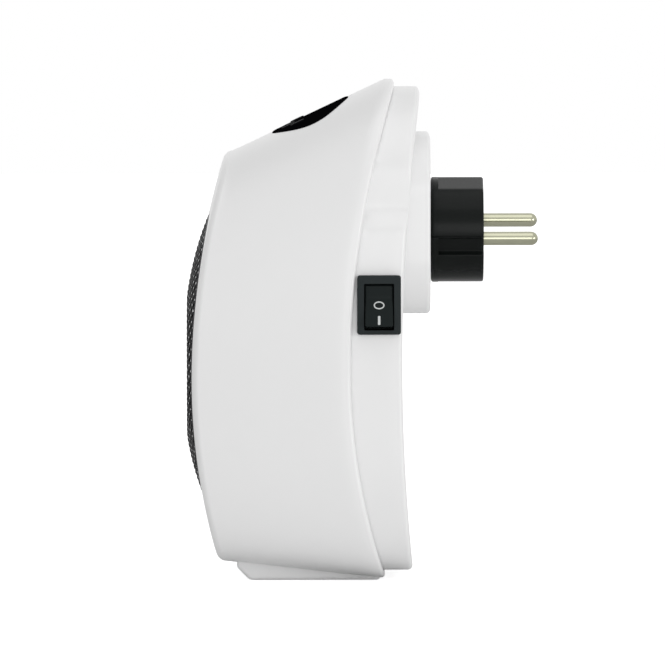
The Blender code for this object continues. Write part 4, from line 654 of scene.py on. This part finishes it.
for number, centre in enumerate(SCREW_PLACES, 1):
    low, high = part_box(f"case_screw_{number}")
    head_radius, end, head_top = (high[0] - low[0]) / 2, low[1], high[1]
    profile = [(head_radius * share, head_top - drop * MM) for share, drop in HEAD_PROFILE]
    profile += [(head_radius, head_top - HEAD_DEPTH), (SHANK_RADIUS, head_top - HEAD_DEPTH)]
    profile += [(SHANK_RADIUS, end + SHANK_RADIUS), (CLOSING_SHARE * SHANK_RADIUS, end)]
    screw = turned(f"screw_{number}", profile, centre)
    cut(screw, *[cutters("recess", SQUARE * half, [centre], head_top - RECESS_DEPTH, head_top + RECESS_DEPTH)
                 for half in ((RECESS_LONG, RECESS_SHORT), (RECESS_SHORT, RECESS_LONG))])
    dress(screw, zinc, "housing", [f"case_screw_{number}"])

# %% [markdown]
# ## The grille
# The warm air leaves through expanded metal: a steel sheet that is slit and pulled until it opens into
# small diamonds. Pulling also tips every strand, so the lower strand of each diamond stands a little
# forwards and catches the light. Each diamond is a ring of four quads on one lattice, and Solidify gives
# the strands their thickness. The sheet is pressed into a shallow dome that bulges out of the hood's front.

# %% The dome
DOME_RISE, DOME_SETBACK, DOME_POWER = 3.2 * MM, 0.4 * MM, 3
NOSE_Y, NOSE_SOFTNESS = -103.26 * MM, 0.12 * MM
SHEET_THICKNESS, STRAND_TIP, HOLE_SHARE, HOLE_PULL = 0.5 * MM, 0.25 * MM, 0.62, 0.06
KEPT_SHARE, SHEET_LIMIT, LEAST_SHARE = 0.975, 0.985, 0.01


def opening_share(outline_xz):
    """How far points (x, z) lie from the opening's middle, as a share of its outline."""
    away = np.abs(outline_xz - GRILLE_MIDDLE) / GRILLE_HALF
    return (away ** GRILLE_SQUARENESS).sum(axis=-1) ** (1 / GRILLE_SQUARENESS)


def dome_y(outline_xz):
    """Front face plus a full dome over the opening, its rise times one minus the share cubed, that is pressed
    flat at its nose: the soft maximum of the dome and of a plane."""
    dome = face_y(outline_xz) + DOME_SETBACK - DOME_RISE * (1 - opening_share(outline_xz) ** DOME_POWER)
    return NOSE_SOFTNESS * np.logaddexp(dome / NOSE_SOFTNESS, NOSE_Y / NOSE_SOFTNESS)


def held_in(outline_xz):
    """Points (x, z) beyond the sheet's edge are drawn straight in to it: cut diamonds end on the rim."""
    drawn_in = np.minimum(1, SHEET_LIMIT / np.maximum(opening_share(outline_xz), LEAST_SHARE))
    return GRILLE_MIDDLE + (outline_xz - GRILLE_MIDDLE) * drawn_in[..., None]


# %% The mesh
DIAMOND = np.array([DIAMOND_WIDTH, DIAMOND_HEIGHT])
reach = (2 * GRILLE_HALF / DIAMOND).astype(int) + 1
places = np.stack(np.meshgrid(*[np.arange(-count, count + 1) for count in reach], indexing="ij"), axis=-1)
middles = GRILLE_MIDDLE + places[places.sum(axis=-1) % 2 == 0] * DIAMOND / 2
middles = middles[opening_share(middles) < KEPT_SHARE]
steps = np.array([(1, 0), (0, 1), (-1, 0), (0, -1)]) * DIAMOND / 2
corners, holes = held_in(middles[:, None] + steps), held_in(middles[:, None] + HOLE_SHARE * steps)
holes += HOLE_PULL * (corners.mean(axis=1, keepdims=True) - holes)
tips = STRAND_TIP * np.array([0, 1, 0, -1])
points = np.concatenate([loop(corners, dome_y(corners)), loop(holes, dome_y(holes) + tips)], axis=1)
sheet = outwards(new_mesh("grille_mesh", points, repeated(grid_quads(2, 4), 8, len(points))))
skin = sheet.modifiers.new("sheet", "SOLIDIFY")
skin.thickness = SHEET_THICKNESS
skin.offset = 0
dress(sheet, mesh_steel, "housing", ["front_grille"])
print("diamonds:", len(points))

# %% The rolled rim
RIM_PROFILE = [(0.955, 0.5), (0.955, 0.0), (0.957, -0.2), (0.962, -0.35), (0.970, -0.4), (0.979, -0.4),
               (0.987, -0.35), (0.991, -0.2), (0.993, 0.0), (0.993, 2.0), (0.970, 2.0), (0.970, 0.5)]
RIM_SHARP = 50


def rim_loop(share, setback):
    """Loop on the dome at a share of the opening's outline."""
    shape = GRILLE_MIDDLE + (opening(0) - GRILLE_MIDDLE) * share
    return loop(shape, dome_y(shape) + setback)


rim = ring("grille_rim", [rim_loop(share, setback * MM) for share, setback in RIM_PROFILE], RIM_SHARP)
dress(rim, rim_steel, "housing", ["front_grille"])

# %% [markdown]
# ## The plug
# The plug is a round, unearthed one. Two flats and two guide grooves on its side clear the earth clips of a
# socket. Its radius is the smallest of four: the round body's, the two flats' and the grooves' floor, with
# the corners softened, and the flats stop short of the plug's rear rim. It is worked out in its own frame
# and then turned, since the heater was photographed with the plug turned a little.

# %% The plug's body
PLUG_RADIUS, PLUG_CHAMFER, PLUG_DEPTH, PLUG_FLAT = 18.4 * MM, 0.8 * MM, 18.3 * MM, 17.2 * MM
GUIDE_HALF_WIDTH, GUIDE_DEPTH, NECK_RADIUS, NECK_END = 3.0 * MM, 2.4 * MM, 13.1 * MM, 26.0 * MM
RIM_START, RIM_STEP, SOFTNESS, LEAST_SINE = PLUG_DEPTH - 2.5 * MM, 0.02 * MM, 0.12 * MM, 0.2
PLUG_TURN = math.radians(-17.0)
LINE_PLACE, LINE_WIDTH, LINE_DEPTH, PLUG_POINTS = 3.6 * MM, 0.20 * MM, 0.5 * MM, 1440
RADIAL = unit_circle(full_turn(PLUG_POINTS, 0.5))
turned_height = np.sign(RADIAL[:, 0]) * RADIAL[:, 1] * PLUG_RADIUS
PARTING_LINE = LINE_DEPTH * np.exp(-((turned_height - LINE_PLACE) / LINE_WIDTH) ** 2)


def plug_radius(inset, cut_away):
    """Radius round the plug: a smooth minimum of the body, the flats and, near the pins' line, the grooves.
    The line between the two halves of the mould is a narrow bell curve taken off the body."""
    body = PLUG_RADIUS - inset - PARTING_LINE
    if not cut_away:
        return body
    sine = np.abs(RADIAL[:, 1])
    flats = (PLUG_FLAT - inset) / np.maximum(sine, LEAST_SINE)
    depth = GUIDE_DEPTH / (1 + np.exp((sine * PLUG_RADIUS - GUIDE_HALF_WIDTH) / SOFTNESS))
    grooves = PLUG_RADIUS - inset - depth
    return -SOFTNESS * np.logaddexp(np.logaddexp(-body / SOFTNESS, -flats / SOFTNESS), -grooves / SOFTNESS)


def turned_with_plug(outline_xz):
    """Turns (x, z) about the plug's axis."""
    cosine, sine = math.cos(PLUG_TURN), math.sin(PLUG_TURN)
    return outline_xz @ np.array([(cosine, sine), (-sine, cosine)])


def plug_loop(radius, depth):
    """Loop of the plug at a depth in front of the wall."""
    return loop(turned_with_plug(np.asarray(radius)[..., None] * RADIAL), -depth)


loops = [plug_loop(share * plug_radius(PLUG_CHAMFER, True), 0) for share in (CLOSING_SHARE, 0.5, 0.9, 1.0)]
loops += [plug_loop(plug_radius(inset, True), depth) for inset, depth in fillet(PLUG_CHAMFER)[::-1][1:]]
loops += [plug_loop(plug_radius(0, True), depth) for depth in (0.5 * RIM_START, RIM_START - RIM_STEP)]
loops.append(plug_loop(plug_radius(0, False), RIM_START))
loops += [plug_loop(plug_radius(inset, False), PLUG_DEPTH - drop) for inset, drop in fillet(PLUG_CHAMFER)]
loops += [plug_loop(NECK_RADIUS, PLUG_DEPTH), plug_loop(NECK_RADIUS, NECK_END)]
loops.append(plug_loop(CLOSING_SHARE * NECK_RADIUS, NECK_END))
dress(tube("plug", loops), plug_black, "plug", ["plug_body"])

# %% The pins
PIN_RADIUS, PIN_LENGTH, PIN_SPACING, PIN_ROOT, PIN_END = 2.4 * MM, 19.0 * MM, 19.0 * MM, -0.5 * MM, 0.1 * MM
tip = [(PIN_RADIUS - inset, PIN_LENGTH - drop) for inset, drop in fillet(PIN_RADIUS, steps=9)[:-1]]
for name, side, node in (("pin_near", 1, "plug_pin_near"), ("pin_far", -1, "plug_pin_far")):
    centre = turned_with_plug(np.array([side * PIN_SPACING / 2, 0.0]))
    pin = turned(name, [(PIN_RADIUS, PIN_ROOT), *tip, (PIN_END, PIN_LENGTH)], centre)
    dress(pin, nickel, "plug", [node])

# %% [markdown]
# ## The switch
# A small snap-in rocker switch fills a hole in the rear cover's flank. Its bezel and box are one skin:
# loops go from the back of the box out under the bezel, round the bezel's edge, across its face and down
# into the opening to its floor. The rocker's face is made of two slopes with a soft fold above the middle,
# and its marks are thin pads of ink on that face.

# %% The switch's bezel and box
SWITCH_Y, SWITCH_Z, ROCKER_DROP = -36.9 * MM, -23.4 * MM, 0.7 * MM
BEZEL, BOX, CAVITY = MM * np.array([(7.6, 10.3, 1.0), (6.45, 9.4, 0.4), (5.2, 8.07, 0.3)])
SIDES = np.array([1, 1, 0])
BEZEL_EDGE, CAVITY_EDGE, HOLE_GAP, HOLE_REACH = 0.5 * MM, 0.05 * MM, 0.2 * MM, (48.0 * MM, 60.0 * MM)
BEZEL_BACK_X, BEZEL_FACE_X, BOX_REAR_X, CAVITY_FLOOR_X = 55.7 * MM, 57.6 * MM, 39.7 * MM, 48.6 * MM


def switch_loop(size, x, lowered=0.0):
    """Loop of a rectangle (half width, half height, corner radius) in the plane of a constant x."""
    return side_loop(rounded(*size) + (SWITCH_Y, SWITCH_Z - lowered), x)


loops = [switch_loop(BOX, BOX_REAR_X), switch_loop(BOX, BEZEL_BACK_X), switch_loop(BEZEL, BEZEL_BACK_X)]
loops += [switch_loop(BEZEL - inset * SIDES, BEZEL_FACE_X - drop) for inset, drop in fillet(BEZEL_EDGE)]
loops.append(switch_loop(CAVITY + CAVITY_EDGE, BEZEL_FACE_X, ROCKER_DROP))
loops += [switch_loop(CAVITY, x, ROCKER_DROP) for x in (BEZEL_FACE_X - CAVITY_EDGE, CAVITY_FLOOR_X)]
bezel = tube("switch_bezel", loops)
cut(cover, tube("switch_hole", [switch_loop(BOX + HOLE_GAP * SIDES, x) for x in HOLE_REACH]))
dress(bezel, switch_black, "housing", ["switch_body"])

# %% The rocker
ROCKER_HALF_WIDTH, ROCKER_HALF_HEIGHT, ROCKER_TILT = 4.8 * MM, 7.2 * MM, math.radians(10)
ROCKER_DEPTH, ROCKER_EDGE, ROCKER_CORNER = 4.6 * MM, 0.45 * MM, 0.5 * MM
TOP_RISE, FOLD_RISE, FOOT_RISE, FOLD_HEIGHT, FOLD_SOFTNESS = 2.4 * MM, 1.5 * MM, 3.3 * MM, 2.8 * MM, 0.12 * MM
PIVOT = np.array([55.7 * MM, SWITCH_Y, SWITCH_Z - ROCKER_DROP])
CORNER_POINTS, SIDE_POINTS = 6, 32


def face_rise(z):
    """Height of the rocker's face over its pivot: the soft maximum of two slopes that meet at the fold."""
    upper = FOLD_RISE + (TOP_RISE - FOLD_RISE) * (z - FOLD_HEIGHT) / (ROCKER_HALF_HEIGHT - FOLD_HEIGHT)
    lower = FOLD_RISE + (FOOT_RISE - FOLD_RISE) * (FOLD_HEIGHT - z) / (FOLD_HEIGHT + ROCKER_HALF_HEIGHT)
    return FOLD_SOFTNESS * np.logaddexp(upper / FOLD_SOFTNESS, lower / FOLD_SOFTNESS)


def tipped(points):
    """Turns points of the rocker's own frame to its rest, upper end in, and moves them to its pivot."""
    cosine, sine = math.cos(ROCKER_TILT), math.sin(ROCKER_TILT)
    return points @ np.array([(cosine, 0, sine), (0, 1, 0), (-sine, 0, cosine)]) + PIVOT


def on_rocker(outline_yz, lift=0.0):
    """Loop over the rocker's face at a height, from an outline (y, z)."""
    return tipped(side_loop(outline_yz, face_rise(outline_yz[:, 1]) + lift))


def plan(inset):
    """Rounded plan of the rocker. Its long sides have many points, so that they follow the fold."""
    half_width, half_height = ROCKER_HALF_WIDTH - inset, ROCKER_HALF_HEIGHT - inset
    arcs = rounded(half_width, half_height, ROCKER_CORNER, CORNER_POINTS).reshape(4, CORNER_POINTS, 2)
    heights = np.linspace(half_height - ROCKER_CORNER, ROCKER_CORNER - half_height, SIDE_POINTS)[1:-1]
    left = np.column_stack([np.full(len(heights), -half_width), heights])
    return np.concatenate([arcs[0], arcs[1], left, arcs[2], arcs[3], -left])


loops = [on_rocker(plan(inset), -drop) for inset, drop in [(0, ROCKER_DEPTH), *fillet(ROCKER_EDGE)]]
loops += [on_rocker(plan(ROCKER_EDGE) * (share, 1)) for share in (0.66, 0.33, 0)]
dress(tube("rocker", loops, closed_end=False), rocker_black, "rocker", ["switch_rocker"])

# %% The rocker's marks
INK_HEIGHT, RING_POINTS = 0.05 * MM, 64
RING_HALF, RING_LINE, RING_Z = MM * np.array([1.87, 1.40]), 0.42 * MM, 0.3 * MM
BAR_HALF_WIDTH, BAR_HALF_HEIGHT, BAR_CORNER, BAR_Z = 0.42 * MM, 1.6 * MM, 0.2 * MM, -5.1 * MM
wide, narrow = [(RING_HALF - line) * unit_circle(full_turn(RING_POINTS)) + (0, RING_Z)
                for line in (0, RING_LINE)]
loops = [on_rocker(oval_yz, side * INK_HEIGHT)
         for oval_yz, side in ((wide, -1), (wide, 1), (narrow, 1), (narrow, -1))]
dress(ring("mark_off", loops), mark_white, "rocker")
bar = rounded(BAR_HALF_WIDTH, BAR_HALF_HEIGHT, BAR_CORNER) + (0, BAR_Z)
on_mark = tube("mark_on", [on_rocker(bar, -INK_HEIGHT), on_rocker(bar, INK_HEIGHT)])
dress(on_mark, mark_white, "rocker")

# %% [markdown]
# ## The control panel
# An oval lens of black acrylic lies in the sloping roof, over the display. The roof is a little round from
# side to side, and the lens is bent to it, so it stands only a quarter of a millimetre proud all the way
# round. It covers a window in the hood. Four buttons come through it; each is a small turned cap that
# slides square to the lens.

# %% The lens
PANEL_Y, PANEL_Z, SLOPE = -60.4 * MM, 40.158 * MM, math.radians(24.966)
PANEL_HALF, PANEL_LIFT, PANEL_ROUND, PANEL_SKIRT = MM * np.array([28.0, 14.7]), 0.25 * MM, 0.2 * MM, 2.0 * MM
SEARCH_STEPS, SETTLE_STEPS, OVAL_POINTS = 26, 4, 192


def on_panel(points):
    """Points of the panel's own frame, with z square to the slope, in the object's frame."""
    cosine, sine = math.cos(SLOPE), math.sin(SLOPE)
    return points @ np.array([(1, 0, 0), (0, cosine, sine), (0, -sine, cosine)]) + (0, PANEL_Y, PANEL_Z)


def roof_z(x, y):
    """Height of the hood's roof over points (x, y). The roof is made of straight lines from its rim to its
    front, one for each angle of the outline. The angle whose line passes over a point is found by halving."""
    low, high = np.zeros_like(x), np.full_like(x, np.pi)
    for _ in range(SEARCH_STEPS):
        at = (low + high) / 2
        back, front = hood_outline(0, 0, at), hood_outline(TAPER_END, 0, at)
        y_back, y_front = side_ends(back, front)
        place = ramp(back, front, ((y - y_back) / (y_front - y_back))[:, None])
        low, high = np.where(place[:, 0] > x, at, low), np.where(place[:, 0] > x, high, at)
    return place[:, 1]


def roof_rise(x, along):
    """Height of the roof over the panel's plane, square to it, at points (x, along) of the panel's frame."""
    rise = np.zeros_like(x)
    for _ in range(SETTLE_STEPS):
        y = PANEL_Y + math.cos(SLOPE) * along - math.sin(SLOPE) * rise
        rise = (roof_z(x, y) - PANEL_Z - math.sin(SLOPE) * along) / math.cos(SLOPE)
    return rise


def oval(share, inset, height):
    """Ellipse at a share of the lens's outline, drawn in by an inset, at a height over the bent roof."""
    x, along = (share * (PANEL_HALF - inset) * unit_circle(full_turn(OVAL_POINTS))).T
    return on_panel(np.column_stack([x, along, height + roof_rise(x, along)]))


loops = [oval(share, PANEL_ROUND, -PANEL_SKIRT) for share in (0.02, 0.3, 0.6, 0.85, 1)]
loops.append(oval(1, 0, -PANEL_SKIRT))
loops += [oval(1, inset, PANEL_LIFT - drop) for inset, drop in fillet(PANEL_ROUND)]
loops += [oval(share, PANEL_ROUND, PANEL_LIFT) for share in np.linspace(0.97, 0.02, 18)]
lens = tube("panel_lens", loops)

# %% The window under the lens
WINDOW_INSET, WINDOW_REACH = 1.2 * MM, (-6.0 * MM, 3.0 * MM)
cut(hood, tube("window", [oval(1, WINDOW_INSET, height) for height in WINDOW_REACH]))
print("hood with its window:", len(hood.data.polygons), "faces")

# %% The buttons
BUTTON_RADIUS, BUTTON_TOP, BUTTON_EDGE, BUTTON_FOOT = 2.6 * MM, 0.30 * MM, 0.25 * MM, -2.2 * MM
BUTTON_GAP, BUTTON_DISH, BUTTON_REACH = 0.25 * MM, 0.20 * MM, (-3.0 * MM, 3.0 * MM)
BUTTON_PLACES = {"button_timer": (-13.5, -5.0), "button_cooler": (-4.8, -8.4), "button_warmer": (4.8, -8.4),
                 "button_power": (13.5, -5.0)}


def button_loop(place, radius, height):
    """Circle about a place on the panel, given in millimetres, at a height over the panel's plane."""
    shape = circle(radius) + np.multiply(place, MM)
    return on_panel(np.column_stack([shape, np.full(len(shape), height)]))


radius = BUTTON_RADIUS + BUTTON_GAP
knives = [tube(name + "_hole", [button_loop(place, radius, height) for height in BUTTON_REACH])
          for name, place in BUTTON_PLACES.items()]
cut(lens, *knives)
dress(lens, lens_black, "housing", ["control_panel"])
profile = [(BUTTON_RADIUS, BUTTON_FOOT)]
profile += [(BUTTON_RADIUS - inset, BUTTON_TOP - drop) for inset, drop in fillet(BUTTON_EDGE, steps=7)]
profile += [(BUTTON_RADIUS * share, BUTTON_TOP - BUTTON_DISH * (1 - share ** 2))
            for share in (0.6, 0.4, 0.2, 0.03)]
for name, place in BUTTON_PLACES.items():
    cap = tube(name + "_cap", [button_loop(place, radius, height) for radius, height in profile])
    dress(cap, button_black, name, [name])

# %% [markdown]
# ## The stage
# The heater is shown as a shop shows it: in front of white, in soft light. The world is white to the camera
# and in reflections, and gives an even light to everything else. The floor adds a little white of its own
# to what the camera sees, so it fades into the background and keeps a soft shadow.

# %% World and floor
FLOOR_Z, FLOOR_SIZE, FLOOR_GLOW = -120.6 * MM, 6.0, 0.75
AMBIENT, BACKGROUND = 0.57, 1.0
world = bpy.data.worlds.new("white studio")
world.use_nodes = True
bpy.context.scene.world = world
air = world.node_tree.nodes["Background"]
air.inputs["Color"].default_value = (1, 1, 1, 1)
path = add_node(world, "ShaderNodeLightPath")
seen = path.outputs["Is Camera Ray"]
for ray in ("Is Glossy Ray", "Is Transmission Ray"):
    both = add_node(world, "ShaderNodeMath", [(0, seen), (1, path.outputs[ray])], operation="MAXIMUM")
    seen = both.outputs[0]
level = add_node(world, "ShaderNodeMapRange", [("Value", seen)], to_min=AMBIENT, to_max=BACKGROUND)
world.node_tree.links.new(level.outputs["Result"], air.inputs["Strength"])

corners = np.column_stack([FLOOR_SIZE / 2 * SQUARE, np.full(len(SQUARE), FLOOR_Z)])
floor = new_mesh("floor", corners, np.arange(len(corners))[None])
paper, shader = base_material("white background paper", "F4F4F4", 0.9)
path = add_node(paper, "ShaderNodeLightPath")
glow = add_node(paper, "ShaderNodeMath", [(0, path.outputs["Is Camera Ray"])], operation="MULTIPLY")
glow.inputs[1].default_value = FLOOR_GLOW
shader.inputs["Emission Color"].default_value = (1, 1, 1, 1)
paper.node_tree.links.new(glow.outputs[0], shader.inputs["Emission Strength"])
floor.data.materials.append(paper)
print("stage:", world.name)


# %% Lamps
def softbox(name, place, aim, size, power):
    """Square area lamp at a place, turned to a point."""
    lamp = bpy.data.objects.new(name, bpy.data.lights.new(name, "AREA"))
    lamp.data.shape = "SQUARE"
    lamp.data.size = size
    lamp.data.energy = power
    lamp.location = place
    direction = np.array(aim) - np.array(place)
    lamp.rotation_euler = (math.acos(-direction[2] / np.linalg.norm(direction)), 0,
                           math.atan2(direction[1], direction[0]) - math.pi / 2)
    bpy.context.scene.collection.objects.link(lamp)
    print(name, "at", place)


MIDDLE, CHIN = (0, -0.05, -0.03), (0, -0.05, -0.12)
softbox("top softbox", (0.35, 0.05, 1.0), MIDDLE, 0.9, 2.2)
softbox("rear softbox", (0.85, 1.15, 0.12), MIDDLE, 0.4, 3.7)
softbox("low fill", (1.2, 0.1, 0.08), CHIN, 0.5, 1.75)

# %% [markdown]
# ## The camera
# The photograph looks at the heater's right side from a few metres away, almost square on and a little from
# above. The plug's flat face, the origin, is put on its own place in the picture.

# %% The camera
FRAME_PIXELS, SENSOR, PIXELS_PER_MM = 665, 36.0, 2.86
CAMERA_DISTANCE, YAW, ELEVATION, LEAN = 6.0, math.radians(0.3), math.radians(3.2), math.radians(-0.1)
ORIGIN_PIXEL = np.array([483.2, 229.2])
focal_pixels = PIXELS_PER_MM * CAMERA_DISTANCE / MM
camera = bpy.data.objects.new("camera", bpy.data.cameras.new("camera"))
camera.data.sensor_width = SENSOR
camera.data.lens = SENSOR * focal_pixels / FRAME_PIXELS
towards = np.array([math.cos(ELEVATION) * math.cos(YAW), -math.cos(ELEVATION) * math.sin(YAW),
                    math.sin(ELEVATION)])
level_right = np.array([math.sin(YAW), math.cos(YAW), 0.0])
level_up = np.cross(towards, level_right)
right = math.cos(LEAN) * level_right + math.sin(LEAN) * level_up
up = math.cos(LEAN) * level_up - math.sin(LEAN) * level_right
offset = (ORIGIN_PIXEL - FRAME_PIXELS / 2) * (1, -1) / focal_pixels * CAMERA_DISTANCE
place = CAMERA_DISTANCE * towards - offset[0] * right - offset[1] * up
matrix = np.eye(4)
matrix[:3] = np.column_stack([right, up, towards, place])
camera.matrix_world = Matrix(matrix.tolist())
bpy.context.scene.collection.objects.link(camera)
bpy.context.scene.camera = camera
bpy.context.scene.view_settings.view_transform = "Standard"
print("camera at", np.round(place, 3), "lens", round(camera.data.lens, 1))
